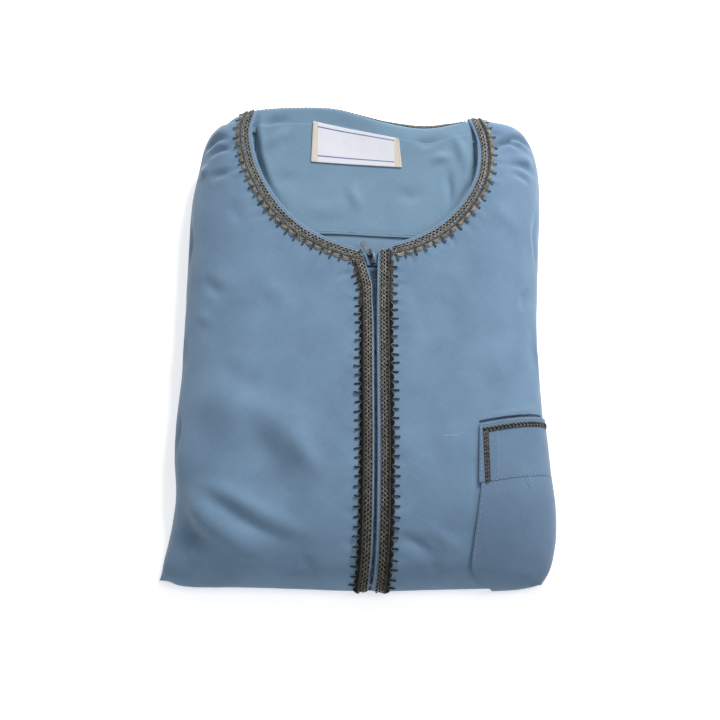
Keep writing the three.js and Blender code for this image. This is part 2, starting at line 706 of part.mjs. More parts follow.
function core() {
  const outline = coreOutline();
  const place = ({ reach, ray, slant }, inset) => [
    ray.x * (reach - inset / slant), CENTRE_Y + ray.y * (reach - inset / slant)];
  const cover = ({ tuckZ }) => (
    THREE.MathUtils.clamp((COVER_FREE_Z - tuckZ) / (COVER_FREE_Z - COVER_FULL_Z), 0, 1));
  const loops = LEVELS.map((level) => outline.map((point) => {
    const inset = level.inset + cover(point) * (level.coverInset - level.inset);
    const z = level.z + cover(point) * (level.coverZ - level.z);
    return new THREE.Vector3(...place(point, inset), z);
  }));
  const top = (point, x, y) => (
    new THREE.Vector3(x, y, Math.max(coreTop(x, y), TOP_LOW_Z + cover(point) * (COVER_LOW_Z - TOP_LOW_Z))));
  TOP_INSETS.forEach((inset, i) => loops.push(outline.map((point) => (
    top(point, ...place(point, i ? inset : inset + COVER_INSET * cover(point)))))));
  TOP_SHARES.forEach((share) => loops.push(outline.map((point) => (
    top(point, point.ray.x * point.reach * share, CENTRE_Y + point.ray.y * point.reach * share)))));
  return loft(loops);
}

// Zip: two woven tapes under the front's edges and the closed coil between them. The strips give
// the face of each front beside the zip
const UP = new THREE.Vector3(0, 0, 1);
const leftStrip = stripOf(leftGrid.map((row) => [row[0], row[1]]), UP);
const rightStrip = stripOf(rightGrid.map((row) => [row[0], row[1]]), UP);
const NEAR_ROWS = NEAR_TUCKS.length;
const CORNER_ROW = NEAR_ROWS + ZIP_ROWS;
const ZIP_FROM = NEAR_ROWS - 0.4;
const COIL = { half: 2.1, flat: 1.2, top: -1.5, middle: -2.2, bottom: -2.9 };
const TAPE = { inner: 2.4, outer: 9.5, top: -1.5, bottom: -2.1 };
const TAPE_END = CORNER_ROW - 0.12;
const COIL_END = CORNER_ROW - 0.8;

function rowsBetween(from, to) {
  const whole = Array.from({ length: 40 }, (_, i) => i).filter((row) => row > from + 0.1 && row < to - 0.1);
  return [from, ...whole, to];
}

function halfOpening(row) {
  return onStrip(leftStrip, row, 0, 0).distanceTo(onStrip(rightStrip, row, 0, 0)) / 2;
}

function tape(strip) {
  return loft(rowsBetween(ZIP_FROM, TAPE_END).map((row) => {
    const inner = TAPE.inner - halfOpening(row);
    return [[inner, TAPE.top], [inner, TAPE.bottom], [TAPE.outer, TAPE.bottom], [TAPE.outer, TAPE.top]]
      .map(([across, lift]) => onStrip(strip, row, across, lift));
  }));
}

function coil() {
  const { half, flat, top, middle, bottom } = COIL;
  const section = [
    [-flat, top], [-half, middle], [-flat, bottom], [flat, bottom], [half, middle], [flat, top]];
  return loft(rowsBetween(ZIP_FROM, COIL_END).map((row) => {
    const left = onStrip(leftStrip, row, 0, 0);
    const right = onStrip(rightStrip, row, 0, 0);
    const centre = left.clone().add(right).multiplyScalar(0.5);
    const across = right.clone().sub(left).normalize();
    const leftUp = onStrip(leftStrip, row, 0, 1).sub(left);
    const up = onStrip(rightStrip, row, 0, 1).sub(right).add(leftUp).normalize();
    return section.map(([x, lift]) => centre.clone().addScaledVector(across, x).addScaledVector(up, lift));
  }));
}

// Slider at the top of the zip, with the arch that holds the pull tab's bar
const SLIDER = { x: 7.2, y: 47.2, base: 34.2, turn: 12, width: 5, length: 8.6, thick: 1.8 };
const ARCH = { from: -0.2, to: 4.2, height: 3.5, leg: 0.9, width: 1.1 };
const PIVOT_Z = SLIDER.base + SLIDER.thick + 1.65;

function solidOf(geometry) {
  const bare = geometry.clone();
  bare.deleteAttribute('normal');
  bare.deleteAttribute('uv');
  const merged = mergeVertices(bare, 1e-4);
  return new wasm.Manifold(new wasm.Mesh({
    numProp: 3,
    vertProperties: merged.attributes.position.array,
    triVerts: new Uint32Array(merged.index.array),
  }));
}

function geometryOf(solid) {
  const mesh = solid.getMesh();
  const geometry = new THREE.BufferGeometry();
  geometry.setAttribute('position', new THREE.Float32BufferAttribute(mesh.vertProperties, 3));
  geometry.setIndex(Array.from(mesh.triVerts));
  return geometry;
}

function slider() {
  const { width, length, thick } = SLIDER;
  const body = new THREE.Shape();
  body.moveTo(-width / 2, length / 2 - 1);
  body.quadraticCurveTo(-width / 2, length / 2, 0, length / 2);
  body.quadraticCurveTo(width / 2, length / 2, width / 2, length / 2 - 1);
  body.lineTo(width / 2 - 0.9, -length / 2);
  body.lineTo(-width / 2 + 0.9, -length / 2);
  const plate = new THREE.ExtrudeGeometry(body, { depth: thick, bevelEnabled: false, curveSegments: 4 });
  const side = new THREE.Shape();
  const { from, to, height, leg } = ARCH;
  side.moveTo(from, -0.5);
  side.lineTo(from, height - 1);
  side.quadraticCurveTo(from, height, from + 1, height);
  side.lineTo(to - 1, height);
  side.quadraticCurveTo(to, height, to, height - 1);
  side.lineTo(to, -0.5);
  side.lineTo(to - leg, -0.5);
  side.lineTo(to - leg, height - leg);
  side.lineTo(from + leg, height - leg);
  side.lineTo(from + leg, -0.5);
  const arch = new THREE.ExtrudeGeometry(side, { depth: ARCH.width, bevelEnabled: false, curveSegments: 3 });
  arch.rotateX(Math.PI / 2).rotateZ(Math.PI / 2);
  arch.translate(-ARCH.width / 2, 0, thick);
  return geometryOf(solidOf(plate).add(solidOf(arch)));
}

// Pull tab: a tapering drop-shaped plate with a slot, its bar through the arch. It lies along +Y
// from the middle of its bar
const TAB = { thick: 0.9, bar: 0.45, slot: 3.6, slotHalf: 1.4, head: 2.2, tail: 2.5, length: 13.5 };
const TAB_TURN = 24;           // degrees, seen from above, from straight up the robe
const TAB_DROOP = -20;         // degrees below level, hanging into the neck opening

function pullTab() {
  const { bar, slot, slotHalf, head, tail, length, thick } = TAB;
  const outline = new THREE.Shape();
  outline.moveTo(-head, -bar);
  outline.lineTo(head, -bar);
  outline.lineTo(head, slot);
  outline.quadraticCurveTo(head - 0.2, 6.5, tail, length - tail);
  outline.absarc(0, length - tail, tail, 0, Math.PI, false);
  outline.quadraticCurveTo(-head + 0.2, 6.5, -head, slot);
  const hole = new THREE.Path();
  hole.moveTo(-slotHalf, bar);
  hole.lineTo(-slotHalf, slot);
  hole.lineTo(slotHalf, slot);
  hole.lineTo(slotHalf, bar);
  outline.holes.push(hole);
  const plate = new THREE.ExtrudeGeometry(outline, { depth: thick, bevelEnabled: false, curveSegments: 6 });
  return plate.translate(0, 0, -thick / 2);
}

// Patch pocket on the right front, round the side and over the near fold: a cuff and a bag. A row
// gives its place at the pocket's left edge and how steeply it climbs to the right
const CUFF_ROWS = table('x y climb', [
  [69.9, -63.8, 0.235],
  [69.4, -76, 0.23],
  [68.8, -88, 0.22],
  [68.2, -100.6, 0.21],
]);
const BAG_ROWS = table('x y climb', [
  [69.7, -101.8, 0.21],
  [67.8, -114, 0.17],
  [65.9, -126, 0.13],
  [64.1, -137, 0.08],
  [62.9, -145, 0.04],
  [63.6, -149.6, 0.01],
]);
const BAG_NEAR_X = 75.8;       // the clipped corner meets the near fold here
const POCKET = 0.9;
const POCKET_GAP = 0.5;
const POCKET_COLUMNS = 5;
const EDGE_X = new Track(RIGHT_EDGE.rows.slice(0, 12), 'y');

function acrossPocket(left, edge) {
  const even = Array.from({ length: POCKET_COLUMNS }, (_, j) => (
    left + ((edge - EDGE_STOPS[0] - left) * j) / (POCKET_COLUMNS - 1)));
  return even.concat(EDGE_STOPS.slice(1).map((stop) => edge - stop));
}

function pocketRow({ x, y, climb }) {
  const edge = EDGE_X.at(y + climb * 45).x;
  const row = acrossPocket(x, edge).map((px) => {
    const py = y + climb * (px - x);
    return new THREE.Vector3(px, py, frontHeight(px, py));
  });
  return withSideTuck(row);
}

function withSideTuck(row) {
  const rim = row[row.length - 1];
  const { z, tuckZ } = EDGE_X.at(rim.y);
  const tuck = SIDE_TUCKS[0];
  return [...row, new THREE.Vector3(rim.x - tuck.inset * Math.min(z / TUCK_FULL_Z, 1), rim.y,
    rim.z - (rim.z - tuckZ) * tuck.drop)];
}

function bagGrid() {
  const rows = BAG_ROWS.map(pocketRow);
  const nearRow = withSideTuck(acrossPocket(BAG_NEAR_X, NEAR_EDGE.rows.at(-1).x).map((x) => {
    const { y } = NEAR_EDGE.at(x);
    return new THREE.Vector3(x, y, frontHeight(x, y));
  }));
  const tuck = NEAR_TUCKS[1];
  rows.push(nearRow, nearRow.map((point) => new THREE.Vector3(point.x, point.y + tuck.inset,
    point.z - (point.z - FLOOR_TUCK_Z) * tuck.drop)));
  return rows;
}

// Narrow braid on the cuff, down beside its left edge and along its top
const CUFF_BRAID = { wide: 3.2, thick: 0.8, x: 71.7, top: -66.4, bottom: -100, climb: 0.235 };
function cuffBraidGrid() {
  const { wide, x, top, bottom, climb } = CUFF_BRAID;
  const face = (px, py) => new THREE.Vector3(px, py, frontHeight(px, py));
  const rows = [0, 0.34, 0.67, 1].map((share) => {
    const y = bottom + (top - wide - bottom) * share;
    return [face(x, share === 1 ? top : y), face(x + wide, y)];
  });
  const edge = EDGE_X.at(top + climb * 40).x;
  for (const stop of [30, 22, ...EDGE_STOPS]) {
    const px = edge - stop;
    const py = top + climb * (px - x);
    rows.push([face(px, py), face(px, py - wide)]);
  }
  return rows;
}

const colours = {
  cloth: 0x6f8fad, inside: 0x7a9abb, braid: 0x5b5148, label: 0xdfe4ec, zip: 0x4a6079, metal: 0x7d8b99,
};
const finish = (color, roughness, metalness = 0) => (
  new THREE.MeshStandardMaterial({ color, roughness, metalness }));
const blueCloth = finish(colours.cloth, 0.85);
const insideCloth = finish(colours.inside, 0.85);
const braidYarn = finish(colours.braid, 0.6);
const labelCloth = finish(colours.label, 0.7);
const zipTape = finish(colours.zip, 0.8);
const paintedMetal = finish(colours.metal, 0.4, 0.6);

const robe = new THREE.Group();
robe.position.set(SHIFT[0], SHIFT[1], 0);
function add(name, geometry, material, parent = robe) {
  const mesh = new THREE.Mesh(geometry, material);
  mesh.name = name;
  parent.add(mesh);
  return mesh;
}

// Turned about +Z and then about its own X axis, in degrees
function turned(x, y, z, turn, tilt = 0) {
  const outer = new THREE.Group();
  outer.position.set(x, y, z);
  outer.rotation.z = THREE.MathUtils.degToRad(turn);
  const inner = new THREE.Group();
  inner.rotation.x = THREE.MathUtils.degToRad(tilt);
  outer.add(inner);
  robe.add(outer);
  return inner;
}

add('front_left', wall(leftGrid, CLOTH), blueCloth);
add('front_right', wall(rightGrid, CLOTH), blueCloth);
const backFace = backGrid();
add('back', wall(backFace, CLOTH), insideCloth);
add('back_facing', wall(facingGrid(), FACING, GAP + FACING), insideCloth);
add('label', wall(labelGrid(), LABEL, GAP + FACING + GAP + LABEL), labelCloth);
add('hidden_layers', core(), blueCloth);

// Braids: up both sides of the zip and round the neckline, mitred at the corners, and on the
// outside of the back under its rolled neck edge
const LAST_ROW = leftGrid.length - 1 - FAR_TUCKS.length;
const MITRE = 0.06;            // rows left free on each side of the mitre
const BRAID_FROM = 0.6;
const ROLLED_ROW = backShares.length + 1;
const BACK_MARGIN = 0.8;
const backStrip = stripOf(backFace[ROLLED_ROW].map((point, j) => [point, backFace[ROLLED_ROW + 1][j]]),
  new THREE.Vector3(0, 1, 0));
add('placket_braid_left', braid(leftStrip, BRAID_FROM, CORNER_ROW - MITRE, 1.2), braidYarn);
add('placket_braid_right', braid(rightStrip, BRAID_FROM, CORNER_ROW - MITRE, 2.2), braidYarn);
add('neck_braid_left', braid(leftStrip, CORNER_ROW + MITRE, LAST_ROW - 0.1, NECK_MARGIN), braidYarn);
add('neck_braid_right', braid(rightStrip, CORNER_ROW + MITRE, LAST_ROW - 0.1, NECK_MARGIN), braidYarn);
add('neck_braid_back', braid(backStrip, 0.1, BACK_COLUMNS - 0.1, BACK_MARGIN), braidYarn);

add('zip_tape_left', tape(leftStrip), zipTape);
add('zip_tape_right', tape(rightStrip), zipTape);
add('zip_coil', coil(), zipTape);
const sliderPlace = turned(SLIDER.x, SLIDER.y, SLIDER.base, SLIDER.turn);
add('zip_slider', slider(), paintedMetal, sliderPlace);
const PIVOT_ALONG = (ARCH.from + ARCH.to) / 2;
const turnRadians = THREE.MathUtils.degToRad(SLIDER.turn);
const pivot = [
  SLIDER.x - PIVOT_ALONG * Math.sin(turnRadians), SLIDER.y + PIVOT_ALONG * Math.cos(turnRadians)];
add('pull_tab', pullTab(), paintedMetal, turned(...pivot, PIVOT_Z, TAB_TURN, TAB_DROOP));

add('pocket_cuff', wall(CUFF_ROWS.map(pocketRow), POCKET, POCKET_GAP + POCKET), blueCloth);
add('pocket_bag', wall(bagGrid(), POCKET, POCKET_GAP + POCKET), blueCloth);
const cuffBraidLift = POCKET_GAP + POCKET + GAP + CUFF_BRAID.thick;
add('pocket_braid', wall(cuffBraidGrid(), CUFF_BRAID.thick, cuffBraidLift), braidYarn);

export default robe;
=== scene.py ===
"""A child's qamis robe, folded flat and lying face up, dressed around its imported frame."""
import math
import random

import bmesh
import bpy
import numpy as np
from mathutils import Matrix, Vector, noise
from mathutils.bvhtree import BVHTree


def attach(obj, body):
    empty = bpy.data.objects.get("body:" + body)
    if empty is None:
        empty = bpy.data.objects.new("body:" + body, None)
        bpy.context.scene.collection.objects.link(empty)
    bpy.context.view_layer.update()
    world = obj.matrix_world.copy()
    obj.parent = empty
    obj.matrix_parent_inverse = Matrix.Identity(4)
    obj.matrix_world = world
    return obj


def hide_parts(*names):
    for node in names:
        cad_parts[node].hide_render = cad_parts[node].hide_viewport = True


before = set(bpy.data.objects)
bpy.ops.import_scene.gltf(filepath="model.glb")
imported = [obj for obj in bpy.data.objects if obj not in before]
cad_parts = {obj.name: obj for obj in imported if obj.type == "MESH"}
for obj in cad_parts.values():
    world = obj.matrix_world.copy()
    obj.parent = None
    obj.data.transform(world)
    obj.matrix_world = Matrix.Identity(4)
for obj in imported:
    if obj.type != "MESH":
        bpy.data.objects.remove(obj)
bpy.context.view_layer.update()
ROBE = "robe"

# The fronts: two panels of light plain-woven poly-cotton, folded round the pack at the sides and at
# the near end, with their edges turned in at the zip and the neckline. Lengths are in millimetres
# and the robe's own plan, with x across it and y towards the neck.
MM = 0.001
PLAN_SHIFT = Vector((-0.05, -0.77, 0))
CLOTH_LEVELS = 3
CROWN_Z = 33
ROLL_BOX = Vector((84, 128, 12))
ROLL_NEAR_Y = -122
ZIP_EDGE_LEFT = [
    (5.2, -157), (6.4, -150), (7.4, -140), (8.1, -124), (8.5, -104), (8.8, -80), (8.8, -52),
    (8.8, -24), (8.8, 4), (8.2, 22), (5.2, 40), (1.9, 54),
]
ZIP_EDGE_RIGHT = [
    (6.2, -157), (7.4, -150), (8.4, -140), (9.1, -124), (9.5, -104), (9.8, -80), (9.8, -52),
    (9.8, -24), (9.8, 4), (10, 22), (10.3, 40), (10.6, 55.6),
]
NECK_EDGE_LEFT = [
    (1.9, 54), (-7, 56.8), (-21, 62.6), (-37.5, 73), (-52, 89.5), (-61.5, 106.5), (-67.5, 124),
    (-70, 142), (-71.5, 157.6),
]
NECK_EDGE_RIGHT = [
    (10.6, 55.6), (21, 58.4), (35, 63.4), (50, 72.5), (63.5, 87), (72.5, 104), (75.5, 120),
    (75, 136), (74.5, 150.8),
]


def placed(x, y, z):
    """A point of the robe's plan in the frame, in metres"""
    return (Vector((x, y, z)) + PLAN_SHIFT) * MM


def outward(p):
    """The way out of the pack at a point in millimetres: up on top, sideways round the folds"""
    core = Vector((
        min(max(p.x, -ROLL_BOX.x), ROLL_BOX.x),
        min(max(p.y, ROLL_NEAR_Y), ROLL_BOX.y),
        min(p.z, ROLL_BOX.z),
    ))
    away = p - core
    return away.normalized() if away.length > 0.01 else Vector((0, 0, 1))


def unrolled(p, way):
    """The point's place on the cloth laid flat: what hangs down a side lies further out"""
    drop = max(CROWN_Z - p.z, 0)
    return p.x + way.x * drop, p.y + way.y * drop


def shown(name, mesh):
    """An object for a mesh that is already in its place"""
    made = bpy.data.objects.new(name, mesh)
    bpy.context.scene.collection.objects.link(made)
    return made


def finished(made):
    """The object's mesh with its modifiers or bevel worked in"""
    bpy.context.view_layer.update()
    graph = bpy.context.evaluated_depsgraph_get()
    mesh = bpy.data.meshes.new_from_object(made.evaluated_get(graph))
    mesh.name = made.name
    name = made.name
    bpy.data.objects.remove(made)
    return shown(name, mesh)


KEEN_ANGLE = math.radians(55)
KEEN_CREASE = 0.8
MERGE = 1e-6
PINCH = placed(-117.3, -151.5, 3)
PINCH_REACH = 9 * MM
PINCH_ROUNDS = 8


def merged(node):
    """A copy of the node's mesh, and its form with the loose triangles joined up, to be worked on"""
    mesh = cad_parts[node].data.copy()
    mesh.materials.clear()
    work = bmesh.new()
    work.from_mesh(mesh)
    bmesh.ops.remove_doubles(work, verts=work.verts, dist=MERGE)
    return mesh, work


def smooth_copy(name, node, levels=CLOTH_LEVELS, keen=False):
    """The node's wall as one closed shell of quads, rounded by subdivision, with its outline's
    corners kept where it is keen and the pinch at the robe's near left corner eased"""
    mesh, work = merged(node)
    bmesh.ops.join_triangles(
        work, faces=work.faces, angle_face_threshold=math.pi, angle_shape_threshold=math.pi)
    pinched = [vertex for vertex in work.verts if (vertex.co - PINCH).length < PINCH_REACH]
    for _ in range(PINCH_ROUNDS if pinched else 0):
        bmesh.ops.smooth_vert(
            work, verts=pinched, factor=0.5, use_axis_x=True, use_axis_y=True, use_axis_z=True)
    if keen:
        sharpness = work.edges.layers.float.new("crease_edge")
        for edge in work.edges:
            if edge.is_manifold and edge.calc_face_angle() > KEEN_ANGLE:
                edge[sharpness] = KEEN_CREASE
    work.to_mesh(mesh)
    work.free()
    made = shown(name, mesh)
    rounding = made.modifiers.new("rounding", "SUBSURF")
    rounding.levels = levels
    rounding.render_levels = levels
    made = finished(made)
    made.data.shade_smooth()
    return made


def curved(points, step=0.7):
    """A smooth line through plan points, as places a short step apart"""
    rows = np.array(points, float)
    stops = np.concatenate([[0], np.cumsum(np.linalg.norm(rows[1:] - rows[:-1], axis=1))])
    slopes = np.array([
        (rows[min(i + 1, len(rows) - 1)] - rows[max(i - 1, 0)])
        / (stops[min(i + 1, len(rows) - 1)] - stops[max(i - 1, 0)]) for i in range(len(rows))
    ])
    line = []
    for stop in np.linspace(0, stops[-1], int(stops[-1] / step)):
        i = min(int(np.searchsorted(stops, stop, side="right")) - 1, len(rows) - 2)
        span = stops[i + 1] - stops[i]
        t = (stop - stops[i]) / span
        ease = t * t * (3 - 2 * t)
        bend = slopes[i] * t * (1 - t) ** 2 - slopes[i + 1] * t * t * (1 - t)
        line.append(rows[i] + (rows[i + 1] - rows[i]) * ease + bend * span)
    return line


def crease_lift(places, creases):
    """How far each place is lifted by soft creases: lines with a width, a depth and a deepest share"""
    lift = np.zeros(len(places))
    for points, width, depth, peak in creases:
        line = np.array(points, float)
        steps = np.linalg.norm(line[1:] - line[:-1], axis=1)
        starts = np.concatenate([[0], np.cumsum(steps)])
        best = np.full(len(places), np.inf)
        share = np.zeros(len(places))
        for a, b, step, start in zip(line, line[1:], steps, starts):
            t = np.clip(((places - a) @ (b - a)) / step**2, 0, 1)
            away = np.linalg.norm(places - a - t[:, None] * (b - a), axis=1)
            nearer = away < best
            best = np.where(nearer, away, best)
            share = np.where(nearer, (start + t * step) / starts[-1], share)
        ends = np.where(share < peak, share / peak, (1 - share) / (1 - peak))
        ends = ends * ends * (3 - 2 * ends)
        across = (best / width) ** 2
        lift += depth * ends * (1 - 0.8 * across) * np.exp(-1.1 * across)
    return lift


PULLS_LEFT = [((-71.5, 158), 21, (5.0, 1.6, 0.8)), ((7.4, 31), 13, (1.0, 0, 0))]
PULLS_RIGHT = [((74.5, 151), 21, (-4.5, 1.2, 0.6))]


def pulled(x, y, pulls):
    """How far the sewing has drawn the cloth aside at a place of the plan"""
    move = Vector((0, 0, 0))
    for middle, reach, way in pulls:
        share = max(1 - math.hypot(x - middle[0], y - middle[1]) / reach, 0)
        move += Vector(way) * (share * share * (3 - 2 * share))
    return move


def drawn(made, pulls):
    """Moves the cloth aside where the sewing draws it"""
    for vertex in made.data.vertices:
        p = vertex.co / MM - PLAN_SHIFT
        vertex.co += pulled(p.x, p.y, pulls) * MM


def drawn_line(line, pulls):
    """A plan line that follows the cloth where the sewing draws it"""
    return [(x + pulled(x, y, pulls).x, y + pulled(x, y, pulls).y) for x, y in line]


def crease(made, creases, ripple=0.25, grain=24.0):
    """Moves the cloth in and out along its creases, with a faint uneven ripple all over"""
    mesh = made.data
    points = [v.co / MM - PLAN_SHIFT for v in mesh.vertices]
    ways = [outward(p) for p in points]
    places = np.array([unrolled(p, way) for p, way in zip(points, ways)])
    lift = crease_lift(places, creases)
    for vertex, p, way, up in zip(mesh.vertices, points, ways, lift):
        up += ripple * noise.noise(p / grain) + 0.4 * ripple * noise.noise(p / (0.3 * grain))
        vertex.co += way * (up * MM)
        vertex.co.z = max(vertex.co.z, 0)
    weave = mesh.uv_layers.new(name="weave")
    corners = np.array([loop.vertex_index for loop in mesh.loops])
    weave.data.foreach_set("uv", (places[corners] * MM).astype(np.float32).ravel())
    mesh.update()


ABOVE_Z = 90


class Surface:
    """The cloth's face as rays and nearest points find it, in the robe's plan"""

    def __init__(self, *sheets):
        work = bmesh.new()
        for sheet in sheets:
            work.from_mesh(sheet.data)
        self.tree = BVHTree.FromBMesh(work)
        work.free()

    def below(self, x, y):
        return self.tree.ray_cast(placed(x, y, ABOVE_Z), Vector((0, 0, -1)))[0]

    def towards(self, start, end):
        return self.tree.ray_cast(start, (end - start).normalized())[0]

    def nearest(self, point):
        hit, normal, _, _ = self.tree.find_nearest(point)
        return hit, normal


CREASES_LEFT = [
    # Shoulder, where the sleeve is folded under
    ([(-106, 133), (-93, 138), (-80, 135)], 3.2, -1.5, 0.45),
    ([(-100, 125), (-90, 129), (-80, 127)], 2.8, -1.2, 0.5),
    ([(-99, 110), (-86, 111), (-74, 115)], 4.0, -1.0, 0.4),
    ([(-112, 121), (-104, 118), (-94, 120)], 5.0, 0.9, 0.5),
    # Faint diagonal drag lines of the chest
    ([(-103, 40), (-90, 31), (-77, 21)], 6.0, -0.8, 0.4),
    ([(-108, 18), (-96, 10), (-85, 5)], 5.5, 0.6, 0.5),
    ([(-86, 92), (-78, 84), (-72, 70)], 6.0, -0.5, 0.5),
    ([(-62, 40), (-48, 26), (-40, 8)], 9.0, 0.5, 0.5),
    ([(-30, 30), (-36, 5), (-34, -22)], 10.0, -0.5, 0.5),
    ([(-80, -10), (-66, -24), (-48, -30)], 9.0, 0.5, 0.4),
    # Long soft folds that run to the near left corner
    ([(-78, -44), (-58, -62), (-42, -86), (-24, -106)], 13.0, -1.8, 0.45),
    ([(-104, -26), (-76, -42), (-44, -60), (-10, -92)], 20.0, 3.5, 0.35),
    ([(-90, -70), (-64, -84), (-42, -102), (-26, -124)], 16.0, -1.7, 0.5),
    ([(-43, -58), (-30, -80), (-17, -95)], 7.0, 0.9, 0.5),
    ([(-108, -93), (-86, -98), (-58, -112), (-31, -128), (-11, -140)], 7.0, 1.2, 0.35),
    ([(-96, -100), (-74, -113), (-55, -127), (-30, -144)], 6.0, -0.9, 0.4),
    ([(-114, -90), (-92, -110), (-68, -131), (-38, -154)], 14.0, 3.0, 0.35),
    ([(-118, -112), (-108, -130), (-98, -150)], 17.0, -2.2, 0.5),
    ([(-116, -134), (-104, -148), (-98, -164)], 4.5, 0.9, 0.5),
    ([(-70, -150), (-60, -158), (-52, -172)], 5.0, -0.8, 0.5),
    ([(-34, -146), (-28, -156), (-24, -172)], 4.5, -0.7, 0.5),
    # Side fold
    ([(-122, 96), (-118, 70), (-124, 40)], 4.0, -0.8, 0.5),
    ([(-126, 30), (-120, 4), (-125, -26)], 4.5, 0.7, 0.5),
    ([(-123, -38), (-118, -58), (-124, -80)], 4.0, -0.8, 0.6),
]
CREASES_RIGHT = [
    ([(122, 136), (105, 138), (88, 132)], 3.0, -1.8, 0.5),
    ([(110, 129), (98, 133), (84, 128)], 2.6, -1.6, 0.5),
    ([(122, 116), (107, 118), (90, 116)], 3.6, -1.1, 0.5),
    ([(115, 107), (104, 110), (93, 112)], 3.6, -0.9, 0.4),
    ([(120, 126), (110, 124), (98, 124)], 4.5, 0.9, 0.5),
    ([(114, 34), (108, 26), (104, 15)], 4.0, -1.0, 0.5),
    ([(84, 96), (92, 80), (104, 70)], 7.0, 0.5, 0.5),
    ([(60, 44), (56, 20), (60, -6)], 10.0, -0.5, 0.5),
    ([(32, 34), (30, 10), (34, -16)], 8.0, 0.4, 0.5),
    ([(92, 6), (84, -18), (88, -44)], 9.0, 0.5, 0.5),
    ([(40, -50), (46, -80), (42, -104)], 9.0, -0.6, 0.5),
    ([(19, -124), (34, -139), (48, -157)], 6.0, -1.1, 0.5),
    ([(34, -118), (48, -132), (58, -150)], 6.0, 0.6, 0.5),
    ([(124, 98), (120, 74), (125, 46)], 4.0, -0.8, 0.5),
    ([(126, 20), (121, -6), (126, -34)], 4.5, 0.7, 0.5),
    ([(40, -150), (44, -160), (46, -174)], 4.5, -0.7, 0.5),
]


def puckers(edge, hand, across, spacing, seed):
    """Short creases that the sewn braid draws in the cloth beside it, uneven in place and size"""
    chance = random.Random(seed)
    line = np.array(curved(edge))
    ways = np.gradient(line, axis=0)
    made = []
    stop = spacing * chance.uniform(0.3, 0.8)
    stops = np.concatenate([[0], np.cumsum(np.linalg.norm(line[1:] - line[:-1], axis=1))])
    while stop < stops[-1] - 4:
        i = int(np.searchsorted(stops, stop))
        way = ways[i] / np.linalg.norm(ways[i])
        side = np.array([-way[1], way[0]]) * hand
        base = line[i] + side * (across - 1.5)
        reach = chance.uniform(7, 15)
        lean = chance.uniform(-0.45, 0.45) * reach
        depth = chance.choice((-1, -1, 0.8)) * chance.uniform(0.45, 0.95)
        tip = base + side * reach + way * lean
        middle = base + side * reach * 0.5 + way * lean * 0.3
        made.append(([base, middle, tip], chance.uniform(1.9, 3.2), depth, 0.22))
        stop += spacing * chance.uniform(0.6, 1.5)
    return made


CREASE_STRENGTH = 1.7
OFF_LIGHT_X = 0.2
OFF_LIGHT_Y = 0.45


def deeper(creases):
    """Deepens creases and moves them off the light, so that the shaded wall lies on the line"""
    made = []
    for points, width, depth, peak in creases:
        moved = [(x - OFF_LIGHT_X * width, y - OFF_LIGHT_Y * width) for x, y in points]
        made.append((moved, width, depth * CREASE_STRENGTH, peak))
    return made


BRAID_REACH = 11
front_left = smooth_copy("front_left_cloth", "front_left")
front_right = smooth_copy("front_right_cloth", "front_right")
left_creases = deeper(CREASES_LEFT)
left_creases += puckers(NECK_EDGE_LEFT, 1, BRAID_REACH, 9, 3)
left_creases += puckers(ZIP_EDGE_LEFT, 1, BRAID_REACH, 8, 4)
right_creases = deeper(CREASES_RIGHT)
right_creases += puckers(NECK_EDGE_RIGHT, -1, BRAID_REACH, 9, 5)
right_creases += puckers(ZIP_EDGE_RIGHT, -1, BRAID_REACH, 9, 6)
POCKET_EDGES = [
    ([(66, -62), (69, -61.2), (90, -56.3), (113, -50.6), (118, -49.4)], 2.3, 1.7, 0.5),
    ([(69.2, -62), (67, -88), (66.4, -101), (62, -136), (62, -156)], 1.8, -0.7, 0.3),
]
crease(front_left, left_creases)
crease(front_right, right_creases + POCKET_EDGES)
drawn(front_left, PULLS_LEFT)
drawn(front_right, PULLS_RIGHT)


class Signal:
    """A shader socket that takes part in arithmetic; each operation adds its Math node"""

    def __init__(self, finish, socket):
        self.finish = finish
        self.socket = socket

    def math(self, operation, *values):
        return self.finish.node("Math", {"operation": operation}, dict(enumerate(values)))

    def __add__(self, other):
        return self.math("ADD", self, other)

    def __sub__(self, other):
        return self.math("SUBTRACT", self, other)

    def __rsub__(self, other):
        return self.math("SUBTRACT", other, self)

    def __mul__(self, other):
        return self.math("MULTIPLY", self, other)

    def __truediv__(self, other):
        return self.math("DIVIDE", self, other)

    def sine(self):
        return self.math("SINE", self)

    def above(self, edge):
        return self.math("GREATER_THAN", self, edge)

    __radd__ = __add__
    __rmul__ = __mul__


def tint(red, green, blue):
    """A colour as the eye's 0 to 255 values, for the shader"""
    values = [c / 255 for c in (red, green, blue)]
    return (*[c / 12.92 if c < 0.04045 else ((c + 0.055) / 1.055) ** 2.4 for c in values], 1)


